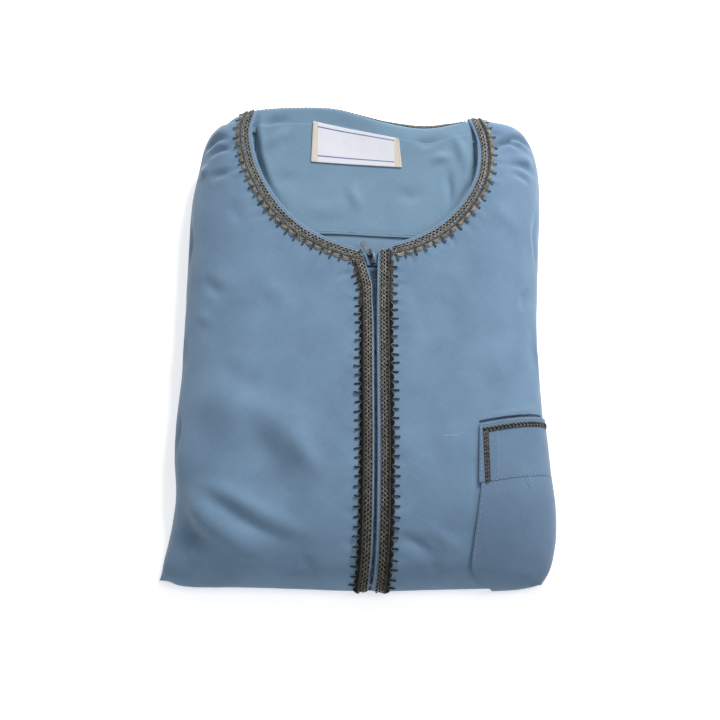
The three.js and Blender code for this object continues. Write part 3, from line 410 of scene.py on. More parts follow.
class Finish:
    """A material whose nodes are made one at a time and joined as they are made"""

    def __init__(self, name, **constants):
        self.material = bpy.data.materials.new(name)
        self.material.use_nodes = True
        self.tree = self.material.node_tree
        self.shader = self.tree.nodes["Principled BSDF"]
        for socket, value in constants.items():
            self.shader.inputs[socket.replace("_", " ")].default_value = value

    def feed(self, socket, value):
        if isinstance(value, Signal):
            self.tree.links.new(value.socket, socket)
        else:
            socket.default_value = value

    def node(self, kind, settings, sockets, output=0):
        made = self.tree.nodes.new("ShaderNode" + kind)
        for name, value in settings.items():
            if name == "stops":
                self.ramp(made.color_ramp, value)
            else:
                setattr(made, name, value)
        for key, value in sockets.items():
            self.feed(made.inputs[key], value)
        return Signal(self, made.outputs[output])

    def ramp(self, ramp, stops):
        while len(ramp.elements) < len(stops):
            ramp.elements.new(0.5)
        for element, (place, colour) in zip(ramp.elements, stops):
            element.position = place
            element.color = colour

    def mixed(self, share, first, second):
        return self.node("Mix", {"data_type": "RGBA"}, {0: share, 6: first, 7: second}, output=2)

    def mottle(self, vector, scale, detail=2.0):
        return self.node("TexNoise", {}, {"Vector": vector, "Scale": scale, "Detail": detail})

    def bumped(self, height, distance, strength=1.0):
        bump = self.node("Bump", {}, {"Height": height, "Distance": distance, "Strength": strength})
        self.feed(self.shader.inputs["Normal"], bump)


WEAVE_PITCH = 0.42 * MM
WEAVE_DEPTH = 0.05 * MM


def woven(name, main, deep, pale):
    """Plain-woven cloth: crossing threads in relief, slubs along both, and a slow uneven tone"""
    cloth = Finish(
        name, Roughness=0.82, Sheen_Weight=0.35, Sheen_Roughness=0.45, Specular_IOR_Level=0.25)
    flat = cloth.node("UVMap", {"uv_map": "weave"}, {})
    axes = [cloth.node("SeparateXYZ", {}, {0: flat}, output=i) for i in (0, 1)]
    turn = math.pi / WEAVE_PITCH
    warp, weft = [(axis * turn).sine() for axis in axes]
    crossing = warp * weft
    slubs = []
    for size in ((260, 5200, 1), (5200, 260, 1)):
        stretched = cloth.node("Mapping", {}, {"Vector": flat, "Scale": size})
        slubs.append(cloth.mottle(stretched, 1.0))
    slub = slubs[0] + slubs[1] - 1
    tone = cloth.mottle(flat, 38.0, 3.0)
    cloud = cloth.node("MapRange", {}, {0: tone, 1: 0.3, 2: 0.7})
    base = cloth.mixed(cloud, deep, main)
    thread_share = cloth.node("MapRange", {}, {0: slub + crossing * 0.22, 1: -0.5, 2: 0.5})
    colour = cloth.mixed(thread_share * 0.42, base, pale)
    cloth.feed(cloth.shader.inputs["Base Color"], colour)
    cloth.bumped(crossing * 0.5 + slub * 1.1, WEAVE_DEPTH)
    return cloth.material


def worn(made, slot, *nodes):
    """Rides the piece on the robe, in place of the nodes. The slot is not used"""
    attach(made, ROBE)
    if nodes:
        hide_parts(*nodes)


OUTSIDE_CLOTH = woven(
    "blue poly-cotton", tint(100, 130, 158), tint(86, 114, 142), tint(140, 166, 190))
for front, node in ((front_left, "front_left"), (front_right, "front_right")):
    front.data.materials.append(OUTSIDE_CLOTH)
    worn(front, "cloth", node)

# The back: the inside of the same cloth, seen through the neck, with the neck edge rolled over and
# its outside going down behind. A neck facing lies on it, topstitched along its lower edge.
CREASES_BACK = [
    ([(57, 118), (58, 98), (57, 80)], 3.4, -1.2, 0.4),
    ([(44, 118), (52, 122), (62, 123)], 4.0, 1.0, 0.5),
    ([(-6, 108), (-3, 97), (3, 84)], 5.0, 0.7, 0.5),
    ([(-66, 146), (-56, 150), (-42, 150)], 3.4, -1.4, 0.4),
    ([(-64, 128), (-52, 138), (-40, 146)], 5.0, 1.1, 0.5),
    ([(-60, 104), (-46, 110), (-34, 112)], 7.0, -0.7, 0.5),
    ([(-40, 90), (-20, 88), (0, 92)], 8.0, 0.6, 0.5),
    ([(20, 100), (34, 96), (46, 102)], 6.0, -0.6, 0.5),
    ([(60, 142), (66, 130), (70, 112)], 4.5, 1.0, 0.5),
    ([(32, 134), (44, 132), (58, 138)], 4.0, -0.8, 0.5),
]
back_creases = deeper(CREASES_BACK)
NECK_GAPS = [
    ([(-42, 80), (-53, 91), (-61.5, 107), (-67, 124), (-69, 142), (-66, 158)], 3.2, -4.6, 0.7),
    ([(52, 75), (63, 88), (72, 104), (74.5, 120), (73.5, 134), (70.5, 146)], 3.2, -4.6, 0.6),
]
FACING_SEAM = [(-48, 70.1), (-20, 69.9), (8, 68.2), (26, 67.2), (46, 66.8), (60, 67.5)]
SEAM_DIP = [(FACING_SEAM, 1.3, -0.35, 0.5)]
back = smooth_copy("back_cloth", "back")
facing = smooth_copy("back_facing_cloth", "back_facing", 3, keen=True)
crease(back, back_creases + NECK_GAPS, ripple=0.2)
crease(facing, back_creases + NECK_GAPS + SEAM_DIP, ripple=0.2)
INSIDE_CLOTH = woven(
    "inside of the poly-cotton", tint(104, 136, 161), tint(94, 125, 150), tint(147, 173, 192))
for sheet, node in ((back, "back"), (facing, "back_facing")):
    sheet.data.materials.append(INSIDE_CLOTH)
    worn(sheet, "cloth_inside", node)

# The neck label: woven satin with both ends turned under, sewn on the facing at its ends. The plan
# corners of its far and near edges place the two woven lines.
LABEL_FAR = ((-30.5, 147), (25.3, 133.4))
LABEL_NEAR = ((-31.6, 118.8), (27, 113.7))
LABEL_LENGTH = 58 * MM
LABEL_HEM = 0.055
LABEL_LINES = (0.13, 0.85)
LABEL_WARP = 0.11 * MM
LABEL_ROWS = 640
LABEL_RELIEF = 0.06 * MM


def label_map(made):
    """A map of the label: how far along it each corner is in metres, and its share down"""
    spread = made.data.uv_layers.new(name="label")
    for loop, corner in zip(made.data.loops, spread.data):
        p = made.data.vertices[loop.vertex_index].co / MM - PLAN_SHIFT
        far, near = [
            np.interp(p.x, [ends[0][0], ends[1][0]], [ends[0][1], ends[1][1]])
            for ends in (LABEL_FAR, LABEL_NEAR)
        ]
        along = (p.x - LABEL_FAR[0][0]) / (LABEL_FAR[1][0] - LABEL_FAR[0][0])
        corner.uv = (along * LABEL_LENGTH, (far - p.y) / (far - near))


def label_satin():
    """White woven satin with cream turned ends and two thin blue lines along it"""
    satin = Finish("label satin", Roughness=0.42, Sheen_Weight=0.3, Coat_Weight=0.1)
    spread = satin.node("UVMap", {"uv_map": "label"}, {})
    along, down = [satin.node("SeparateXYZ", {}, {0: spread}, output=i) for i in (0, 1)]
    lines = []
    for middle in LABEL_LINES:
        away = satin.node("Math", {"operation": "ABSOLUTE"}, {0: down - middle})
        lines.append(satin.node("MapRange", {}, {0: away, 1: 0.022, 2: 0.012}))
    warp = (along * (math.pi / LABEL_WARP)).sine()
    rows = (down * LABEL_ROWS).sine()
    inner = satin.node("Math", {"operation": "ABSOLUTE"}, {0: along / LABEL_LENGTH - 0.5})
    hem = inner.above(0.5 - LABEL_HEM)
    ground = satin.mixed(rows * 0.25 + 0.5, tint(206, 208, 218), tint(222, 223, 232))
    hemmed = satin.mixed(hem, ground, tint(206, 198, 182))
    lined = satin.mixed((lines[0] + lines[1]) * (1 - hem), hemmed, tint(86, 104, 150))
    satin.feed(satin.shader.inputs["Base Color"], lined)
    satin.bumped(rows * 0.3 + warp * 0.15 - hem * 2, LABEL_RELIEF)
    return satin.material


label = smooth_copy("neck_label", "label", 3, keen=True)
crease(label, back_creases, ripple=0.2)
label_map(label)
label.data.materials.append(label_satin())
worn(label, "label_cloth", "label")

# The hidden layers: the rest of the skirt, the back and the sleeves, folded in underneath. Only
# their rolled edges show, layer on layer, and the flat underside that the robe rests on.
LAYER_LEVELS = 2
LAYER_THICK = 0.8
COVERED_BOX = Vector((66, 116, 22))
ZIP_STRIP = 26
LAYER_CREASES = 40
HALF_ACROSS = 118
HALF_ALONG = 156
PLAN_RADIUS = 160


def joined(name, parts):
    """The parts as one mesh that keeps each part's material"""
    work = bmesh.new()
    mesh = bpy.data.meshes.new(name)
    for part in parts:
        slot = len(mesh.materials)
        mesh.materials.append(part.data.materials[0])
        start = len(work.faces)
        work.from_mesh(part.data)
        work.faces.ensure_lookup_table()
        for face in work.faces[start:]:
            face.material_index = slot
        bpy.data.objects.remove(part)
    work.to_mesh(mesh)
    work.free()
    return shown(name, mesh)


def opened(made):
    """Takes away the middle of the top, which the fronts cover, and gives the rest a thickness"""
    work = bmesh.new()
    work.from_mesh(made.data)
    covered = [
        f for f in work.faces
        if ZIP_STRIP * MM < abs(f.calc_center_median().x) < COVERED_BOX.x * MM
        and abs(f.calc_center_median().y) < COVERED_BOX.y * MM
        and f.calc_center_median().z > COVERED_BOX.z * MM
    ]
    bmesh.ops.delete(work, geom=covered, context="FACES")
    work.to_mesh(made.data)
    work.free()
    wall = made.modifiers.new("wall", "SOLIDIFY")
    wall.thickness = LAYER_THICK * MM
    wall.offset = -1
    made = finished(made)
    made.data.shade_smooth()
    return made


def layer_creases(seed):
    """Long soft creases round the folded edges, each at its own height"""
    chance = random.Random(seed)
    made = []
    for _ in range(LAYER_CREASES):
        angle = chance.uniform(0, 2 * math.pi)
        middle = np.array([HALF_ACROSS * math.cos(angle), HALF_ALONG * math.sin(angle)])
        spread = chance.uniform(10, 26)
        way = np.array([-math.sin(angle), math.cos(angle)])
        reach = chance.uniform(4, 26)
        middle = middle * (1 + reach / PLAN_RADIUS)
        made.append(([middle - way * spread, middle, middle + way * spread],
                     chance.uniform(3, 6), chance.choice((-1, 1)) * chance.uniform(0.3, 0.8), 0.5))
    return made


def formed(name, work, material):
    """The worked form as an object of one material"""
    mesh = bpy.data.meshes.new(name)
    work.to_mesh(mesh)
    work.free()
    mesh.materials.append(material)
    return shown(name, mesh)


def seam_allowance(x, far_y, height):
    """The cloth of the shoulder seam, which lies under the gap between a front and the back"""
    work = bmesh.new()
    bmesh.ops.create_grid(work, x_segments=8, y_segments=12, size=1)
    for vertex in work.verts:
        y = far_y - 9 + 9 * vertex.co.y
        drop = max(y - far_y + 3, 0) ** 2 * 0.3
        vertex.co = placed(x + 6 * vertex.co.x, y, height - drop)
    bmesh.ops.solidify(work, geom=work.faces, thickness=LAYER_THICK * MM)
    return formed("allowance", work, OUTSIDE_CLOTH)


layers = smooth_copy("layers", "hidden_layers", LAYER_LEVELS)
crease(layers, layer_creases(21) + NECK_GAPS, ripple=0.35)
layers = opened(layers)
layers.data.materials.append(OUTSIDE_CLOTH)
allowances = [seam_allowance(-68, 158.6, 37.4), seam_allowance(71, 150.2, 37.4)]
layers = joined("folded_layers_cloth", [layers, *allowances])
layers.data.shade_smooth()
worn(layers, "cloth", "hidden_layers")

# Zip: two ribbed tapes under the fronts' edges, and the nylon coils between them, closed up to the
# slider. A line on the cloth is followed by its running length, as for all the trims after it.
FOLD_PIVOT = (-122, 5)
FOLD_REACH = 70
FOLD_DOWN = math.radians(97)
# Painted shade on the yarns: towards the robe's near end their colour is darkened towards black
# between these two places along y, in metres, where the braids slope away from the light
PAINTED_SHADE_FULL_Y = -0.07
PAINTED_SHADE_END_Y = 0.06


class Route:
    """A line on the cloth, followed by its running length in millimetres, with an outer side"""

    def __init__(self, surface, points, hand):
        self.surface = surface
        self.points = points
        self.hand = hand
        steps = [(b - a).length / MM for a, b in zip(points, points[1:])]
        self.stops = np.concatenate([[0], np.cumsum(steps)])
        self.length = float(self.stops[-1])
        reach = 4
        self.ways = []
        for i in range(len(points)):
            a = points[max(i - reach, 0)]
            b = points[min(i + reach, len(points) - 1)]
            self.ways.append((b - a).normalized())

    def place(self, along, across, height=0.0):
        i = min(max(int(np.searchsorted(self.stops, along)) - 1, 0), len(self.points) - 2)
        t = (along - self.stops[i]) / (self.stops[i + 1] - self.stops[i])
        point = self.points[i].lerp(self.points[i + 1], t)
        way = self.ways[i].lerp(self.ways[i + 1], min(max(t, 0), 1))
        _, normal = self.surface.nearest(point)
        side = way.cross(normal).normalized() * self.hand
        hit, normal = self.surface.nearest(point + side * (across * MM))
        return hit + normal * (height * MM)


def over_top(surface, line):
    """Points of the cloth straight under a plan line"""
    hits = [surface.below(x, y) for x, y in line]
    return [hit for hit in hits if hit is not None]


def over_fold(surface, edge, top_line, inset):
    """The line down the top of the robe and round its near fold, at an inset from the edge"""
    points = [p for p in over_top(surface, top_line) if p.y > placed(0, FOLD_PIVOT[0], 0).y]
    rows = np.array(edge, float)
    turns = 90
    y = FOLD_PIVOT[0]
    for k in range(turns + 1):
        angle = FOLD_DOWN * k / turns
        x = float(np.interp(y, rows[:, 0], rows[:, 1])) + inset
        middle = placed(x, *FOLD_PIVOT)
        start = middle + Vector((0, -math.sin(angle), math.cos(angle))) * (FOLD_REACH * MM)
        hit = surface.towards(start, middle)
        if hit is None:
            break
        points.append(hit)
        y = hit.y / MM - PLAN_SHIFT.y
    return points


def placket_route(surface, edge, inset, hand, pulls):
    """From the neckline down beside the zip and round the near fold"""
    by_y = [(y, x) for x, y in edge]
    top_line = [(x + inset, y) for x, y in reversed(drawn_line(curved(edge), pulls))]
    return Route(surface, over_fold(surface, by_y, top_line, inset), hand)


def threads(runs, radius, material, sides=0):
    """Round yarn along each run of points, as one mesh; a run may give a thickness at each point"""
    curve = bpy.data.curves.new("yarn", "CURVE")
    curve.dimensions = "3D"
    curve.bevel_depth = radius * MM
    curve.bevel_resolution = sides
    curve.use_fill_caps = True
    for run in runs:
        spline = curve.splines.new("POLY")
        spline.points.add(len(run) - 1)
        for point, value in zip(spline.points, run):
            place, thickness = value if isinstance(value, tuple) else (value, 1.0)
            point.co = (*place, 1)
            point.radius = thickness
    made = finished(shown("yarn", curve))
    made.data.materials.clear()
    made.data.materials.append(material)
    made.data.shade_smooth()
    return made


def yarn(name, main, deep, gloss=0.5, near=1.0, shine=0.5):
    """Spun yarn: fine fibres across it and a slightly uneven dye. near is the share of its colour
    that is left at the robe's near end, where it is darkened towards black as painted shade, the
    braids there sloping away from the light"""
    made = Finish(name, Roughness=gloss, Specular_IOR_Level=shine)
    places = made.node("TexCoord", {}, {}, output=3)
    uneven = made.mottle(places, 420.0, 2.0)
    fibre = made.mottle(places, 5200.0, 1.0)
    shade = made.node("MapRange", {}, {0: uneven * 0.6 + fibre * 0.4, 1: 0.4, 2: 0.6})
    y = made.node("SeparateXYZ", {}, {0: places}, output=1)
    # Painted shade: the colour goes towards black at the robe's near end
    kept = made.node("MapRange", {}, {0: y, 1: PAINTED_SHADE_FULL_Y, 2: PAINTED_SHADE_END_Y, 3: near, 4: 1.0})
    dyed = made.mixed(shade, deep, main)
    with_painted_shade = made.mixed(kept, tint(10, 9, 9), dyed)
    made.feed(made.shader.inputs["Base Color"], with_painted_shade)
    made.bumped(fibre, 0.05 * MM, 0.8)
    return made.material


left_surface = Surface(front_left)
right_surface = Surface(front_right)
TAPE_BLUE = woven("zip tape", tint(44, 61, 88), tint(34, 49, 73), tint(66, 84, 110))
COIL_BLUE = yarn("nylon coil", tint(92, 110, 134), tint(38, 52, 74), 0.3)
tapes = [smooth_copy(f"tape_{side}", f"zip_tape_{side}", 2) for side in ("left", "right")]
for tape in tapes:
    crease(tape, [], ripple=0)
    tape.data.materials.append(TAPE_BLUE)
tapes = joined("zip_tapes", tapes)
worn(tapes, "zip_tape", "zip_tape_left", "zip_tape_right")

COIL_PITCH = 1.25
COIL_WIRE = 0.27
COIL_RADIUS = 0.62
COIL_APART = 0.72
COIL_TURN_POINTS = 9
COIL_LIFT = 0.1
COIL_TOP_Y = 43
coil_surface = Surface(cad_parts["zip_coil"])
coil_edge = [(y, (x + other) / 2) for (x, y), (other, _) in zip(ZIP_EDGE_LEFT, ZIP_EDGE_RIGHT)]
coil_top = [(x, y) for y, x in coil_edge if y < COIL_TOP_Y]
coil_points = over_fold(coil_surface, coil_edge, list(reversed(curved(coil_top))), 0)
coil_route = Route(coil_surface, coil_points, 1)
coil_runs = []
for hand in (-1, 1):
    run = []
    for k in range(int(coil_route.length / COIL_PITCH * COIL_TURN_POINTS)):
        angle = 2 * math.pi * k / COIL_TURN_POINTS
        along = k * COIL_PITCH / COIL_TURN_POINTS + (0 if hand > 0 else COIL_PITCH / 2)
        sideways = hand * COIL_APART + COIL_RADIUS * math.cos(angle)
        run.append(coil_route.place(along, sideways, COIL_LIFT + COIL_RADIUS * math.sin(angle)))
    coil_runs.append(run)
coil = joined("zip_coil_loops", [threads(coil_runs, COIL_WIRE, COIL_BLUE)])
worn(coil, "zip_coil", "zip_coil")

# Slider and pull tab: cast metal in grey-blue enamel, paler and more metallic within a short reach of
# where the bar of the tab turns on the slider. They keep the frame's own forms, with the edges eased.
METAL_EDGE = 0.22 * MM


def enamelled(name, node, body, material):
    """The node's own form with its edges eased, as enamel leaves them"""
    mesh, work = merged(node)
    bmesh.ops.dissolve_limit(
        work, angle_limit=math.radians(4), verts=work.verts, edges=work.edges)
    work.to_mesh(mesh)
    work.free()
    made = shown(name, mesh)
    easing = made.modifiers.new("easing", "BEVEL")
    easing.width = METAL_EDGE
    easing.segments = 3
    easing.limit_method = "ANGLE"
    easing.angle_limit = math.radians(35)
    made = finished(made)
    made.data.shade_smooth()
    made.data.materials.append(material)
    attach(made, body)
    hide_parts(node)


PIVOT = placed(6.784, 49.156, 37.65)


def enamel(name, colour, reach):
    """Enamel over cast metal, paler and more metallic within a short reach of the tab's bar"""
    made = Finish(name, Roughness=0.36, Coat_Weight=0.3, Coat_Roughness=0.25)
    places = made.node("TexCoord", {}, {}, output=3)
    away = made.node("VectorMath", {"operation": "DISTANCE"}, {0: places, 1: PIVOT}, output=1)
    speckle = made.mottle(places, 900.0)
    bright = made.node(
        "MapRange", {}, {0: away + speckle * (0.8 * MM), 1: reach, 2: 0.55 * reach})
    made.feed(made.shader.inputs["Base Color"], made.mixed(bright, colour, tint(196, 196, 196)))
    made.feed(made.shader.inputs["Metallic"], bright * 0.6 + 0.3)
    made.bumped(speckle, 0.02 * MM, 0.5)
    return made.material


BLUE_ENAMEL = enamel("blue enamel", tint(38, 52, 74), 2.0 * MM)
GREY_ENAMEL = enamel("grey enamel", tint(112, 124, 138), 2.4 * MM)
enamelled("slider_body", "zip_slider", ROBE, BLUE_ENAMEL)
enamelled("pull_tab_plate", "pull_tab", "pull_tab", GREY_ENAMEL)

# Braids: crocheted trim of taupe and dark brown yarn, sewn round the neckline and up both sides of
# the zip. From its inner edge it has a net of dark knots in pale rings, a raised two-ply cord, a
# row of satin scallops, and a picot between each two of them.
PALE_YARN = yarn("taupe yarn", tint(186, 182, 172), tint(112, 109, 103), 0.33, 0.6, 0.7)
MID_YARN = yarn("brown yarn", tint(98, 93, 86), tint(50, 47, 44), 0.4, 0.4, 0.4)
DARK_YARN = yarn("dark brown yarn", tint(26, 25, 25), tint(12, 11, 11), 0.5, 0.3, 0.2)
KNOT_PITCH = 2.6
NET_ROWS = (0.95, 2.5, 4.05)
NET_SWING = 0.78
NET_STEP = 0.43
CORD_ACROSS = 5.35
CORD_PITCH = 2.7
CORD_ORBIT = 0.36
CORD_YARN = 0.42
SCALLOP_PITCH = 5.9
SCALLOP_FROM = 5.9
SCALLOP_DEEP = 2.5
SCALLOP_THREADS = 10
PICOT_LENGTH = {False: 2.2, True: 2.8}
MIXED_TO = 34
MOST_PICOT_LIFT = 0.75
chance = random.Random(11)


def net(route, start, end, rows, knotted):
    """Rings of pale yarn crossing in waves, with a dark knot in each ring of the knotted rows"""
    pale, knots = [], []
    for row, middle in enumerate(rows):
        shift = (row % 2) * KNOT_PITCH / 2
        for hand in (-1, 1):
            run = []
            for along in np.arange(start, end, NET_STEP):
                wave = math.sin(math.pi * (along + shift) / KNOT_PITCH)
                wave += 0.65 * noise.noise(Vector((along * 0.9, row * 7.3, hand * 3.1)))
                lift = 0.55 + 0.16 * hand * math.cos(math.pi * (along + shift) / KNOT_PITCH)
                run.append(route.place(along, middle + hand * NET_SWING * wave, lift))
            pale.append(run)
        if row >= knotted:
            continue
        first = start + (KNOT_PITCH / 2 - shift - start) % KNOT_PITCH
        for along in np.arange(first, end - 0.5, KNOT_PITCH):
            lean = chance.uniform(-0.35, 0.35)
            knots.append([
                (route.place(along - 0.45, middle - lean, 0.3), 0.6),
                (route.place(along, middle, 0.62), 1.0),
                (route.place(along + 0.45, middle + lean, 0.3), 0.6),
            ])
    return pale, knots


def cord(route, start, end, across, lift, orbit=CORD_ORBIT):
    """Two plies twisted round each other"""
    plies = []
    for turn in (0, math.pi):
        plies.append([
            route.place(
                along,
                across + orbit * math.cos(2 * math.pi * along / CORD_PITCH + turn),
                lift + orbit * math.sin(2 * math.pi * along / CORD_PITCH + turn),
            )
            for along in np.arange(start, end, 0.4)
        ])
    return plies


def scallop(route, middle, half):
    """Satin threads side by side, longest in the middle, each laid in a low arch"""
    arches = []
    for k in range(SCALLOP_THREADS):
        part = -1 + 2 * (k + 0.5) / SCALLOP_THREADS
        along = middle + part * half
        reach = SCALLOP_DEEP * math.cos(part * math.pi / 2) ** 0.6
        reach += chance.uniform(-0.25, 0.2)
        arches.append([
            route.place(
                along, SCALLOP_FROM + reach * t, 0.35 + 0.75 * math.sin(math.pi * (0.15 + 0.8 * t)))
            for t in (0, 0.3, 0.65, 1)
        ])
    return arches


def rim(route, start, end, pitch):
    """The thin yarn that outlines the scallops"""
    run = []
    for along in np.arange(start, end, 0.4):
        part = ((along - start) % pitch) / pitch * 2 - 1
        reach = SCALLOP_DEEP * max(math.cos(part * math.pi / 2), 0) ** 0.6
        run.append(route.place(along, SCALLOP_FROM + reach + 0.1, 0.45))
    return run


def picot(route, along, length):
    """A loop of yarn drawn out between two scallops, with a knot at its tip"""
    base = SCALLOP_FROM + 0.6
    tip = SCALLOP_FROM + SCALLOP_DEEP + length * chance.uniform(0.8, 1.12)
    lean = chance.uniform(-0.5, 0.5)
    lift = chance.uniform(0.4, MOST_PICOT_LIFT)
    shape = [
        (-0.32, 0, 0.5), (-0.4, 0.5, 1), (-0.34, 0.85, 1.2), (0, 1, 1), (0.34, 0.85, 1.2),
        (0.4, 0.5, 1), (0.32, 0, 0.5),
    ]
    loop = [
        route.place(along + wide + lean * reach, base + (tip - base) * reach, lift * rise)
        for wide, reach, rise in shape
    ]
    end = [
        (route.place(along + lean * reach, base + (tip - base) * reach, lift), thick)
        for reach, thick in ((0.82, 0.7), (0.95, 1.25), (1.06, 0.6))
    ]
    return loop, end


def ribbon(route, start, end, inner, outer, lift, material):
    """A flat band that lies along a route"""
    rows = int((end - start) / 2)
    work = bmesh.new()
    bmesh.ops.create_grid(work, x_segments=rows, y_segments=3, size=1)
    for vertex in work.verts:
        along = start + (vertex.co.x + 1) / 2 * (end - start)
        across = inner + (vertex.co.y + 1) / 2 * (outer - inner)
        vertex.co = route.place(along, across, lift)
    bmesh.ops.recalc_face_normals(work, faces=work.faces)
    bmesh.ops.solidify(work, geom=work.faces, thickness=0.25 * MM)
    return formed("band", work, material)


def braid(name, node, route, start, end, dark, plain_to=0.0):
    """The whole trim along a route; on a dark one the scallops and picots are of the dark yarn.
    There are no picots before plain_to, where another trim abuts"""
    pale, knots = net(route, start, end, NET_ROWS, 3 if dark else 2)
    twist = cord(route, start, end, CORD_ACROSS, 0.85)
    count = round((end - start) / SCALLOP_PITCH)
    pitch = (end - start) / count
    satin, mixed, tips, loops = [], [], [], []
    for k in range(count):
        lobes = mixed if dark and k * pitch < MIXED_TO else satin
        half = pitch / 2 - chance.uniform(0.2, 0.6)
        lobes += scallop(route, start + (k + 0.5) * pitch + chance.uniform(-0.2, 0.2), half)
        if start + k * pitch < plain_to:
            continue
        loop, tip = picot(route, start + k * pitch + (0.4 if k == 0 else 0), PICOT_LENGTH[dark])
        loops.append(loop)
        tips.append(tip)
    lobe_yarn = DARK_YARN if dark else PALE_YARN
    root_yarn = DARK_YARN if dark else MID_YARN
    parts = [
        threads(pale + [rim(route, start, end, pitch)], 0.17, PALE_YARN),
        threads(twist, CORD_YARN, MID_YARN, 1),
        threads(knots, 0.6, DARK_YARN, 1),
        threads(satin, 0.24, lobe_yarn),
        threads(loops, 0.26, DARK_YARN if dark else MID_YARN),
        threads(tips, 0.34, DARK_YARN, 1),
        threads(cord(route, start, end, SCALLOP_FROM + 0.35, 0.6), 0.36, root_yarn, 1),
    ]
    if mixed:
        parts.append(threads(mixed, 0.24, MID_YARN))
    parts.append(ribbon(route, start, end, 0.2, SCALLOP_FROM if dark else 3.2, 0.12, DARK_YARN))
    worn(joined(name, parts), "braid", node)


NECK_INSET = 2.6
PLACKET_INSET = {"left": 1.2, "right": 2.2}


def beside(line, distance):
    """The plan line moved sideways, to its left where the distance is above zero"""
    rows = np.array(line)
    ways = np.gradient(rows, axis=0)
    ways /= np.linalg.norm(ways, axis=1)[:, None]
    return rows + distance * np.stack([-ways[:, 1], ways[:, 0]], axis=1)


def neck_route(surface, edge, inset, hand, pulls):
    """Along a front's neck edge, at an inset from it"""
    line = beside(drawn_line(curved(edge), pulls), inset)
    return Route(surface, over_top(surface, line), hand)


neck_left = neck_route(left_surface, NECK_EDGE_LEFT, NECK_INSET, -1, PULLS_LEFT)
neck_right = neck_route(right_surface, NECK_EDGE_RIGHT, -NECK_INSET, 1, PULLS_RIGHT)
placket_left = placket_route(
    left_surface, ZIP_EDGE_LEFT, -PLACKET_INSET["left"], 1, PULLS_LEFT)
placket_right = placket_route(
    right_surface, ZIP_EDGE_RIGHT, PLACKET_INSET["right"], -1, PULLS_RIGHT)
BRAID_WIDTH = 8.7
NECK_GAP = 0.6
FOOT_GAP = 2
PICOTS_FROM = 9
braid("neck_braid_trim_left", "neck_braid_left", neck_left, -1.6, neck_left.length - NECK_GAP, False)
braid("neck_braid_trim_right", "neck_braid_right", neck_right, BRAID_WIDTH - 1.4,
      neck_right.length - NECK_GAP, False)
for name, node, route, start in (
        ("placket_trim_left", "placket_braid_left", placket_left, 1.2),
        ("placket_trim_right", "placket_braid_right", placket_right, 0.4)):
    braid(name, node, route, start, route.length - FOOT_GAP, True, PICOTS_FROM)

# The same braid goes on round the back of the neck, sewn to the outside a little under the rolled
# edge, as the fronts' neck braids are sewn beside theirs.
BACK_BRAID_DROP = 1.8
BEHIND_Y = 200
BACK_EDGE = [
    (-68, 40.6), (-50, 42.5), (-20, 43.5), (-8, 43), (7, 42), (26, 41), (44, 40.5), (58, 41), (70, 40),
]
back_surface = Surface(back)
back_points = []
for x, z in curved(BACK_EDGE):
    level = z - BACK_BRAID_DROP
    hit = back_surface.towards(placed(x, BEHIND_Y, level), placed(x, 0, level))
    if hit is not None:
        back_points.append(hit)
neck_back = Route(back_surface, back_points, -1)
braid("neck_trim_back", "neck_braid_back", neck_back, 1, neck_back.length - 1, False)

# Patch pocket on the right front: a cuff with a narrow chain braid along its mouth and its left
# edge, and a bag with a clipped near corner, both sewn on along their turned edges.
# The pocket is cut from the fronts' cloth; its tints are darker as painted shade, where the pocket
# faces away from the light
POCKET_CLOTH_SHADED = woven(
    # "pocket's cloth, darkened as painted shade", tint(90, 116, 143), tint(80, 105, 132), tint(130,
    # 155, 179))
    "pocket's cloth", tint(90, 116, 143), tint(80, 105, 132), tint(130, 155, 179))
cuff = smooth_copy("pocket_cuff_cloth", "pocket_cuff", 3, keen=True)
bag = smooth_copy("pocket_bag_cloth", "pocket_bag", 3, keen=True)
BAG_TOP_Y = -101.8
BAG_CLIMB = 0.21
BAG_LEFT_X = 69.7
BAG_REACH = 6
BAG_TO_CUFF = Vector((0, 1.9, -0.25))
for piece, node, flat, area in (
        (cuff, "pocket_cuff", (0.056, 0.04), 0.0021), (bag, "pocket_bag", (0.06, 0.07), 0.0039)):
    crease(piece, right_creases)
    piece.data.materials.append(POCKET_CLOTH_SHADED)
    worn(piece, "cloth", node)

# The bag's far edge is moved up to the cuff, to close the seam between them
for vertex in bag.data.vertices:
    p = vertex.co / MM - PLAN_SHIFT
    below = BAG_TOP_Y + BAG_CLIMB * (p.x - BAG_LEFT_X) - p.y
    share = min(max(1 - below / BAG_REACH, 0), 1)
    vertex.co += BAG_TO_CUFF * (share * MM)
pocket_surface = Surface(cuff, bag)
CHAIN_X = 71.9
CHAIN_TOP = -66.6
CHAIN_CLIMB = 0.235
CHAIN_FOOT = -99.6
CHAIN_END_X = 111
CHAIN_PITCH = 2.35
chain_column = [(CHAIN_X, y) for y in (CHAIN_FOOT, -88, -76, CHAIN_TOP)]
chain_row = [(x, CHAIN_TOP + CHAIN_CLIMB * (x - CHAIN_X)) for x in (CHAIN_X, 84, 98, CHAIN_END_X)]


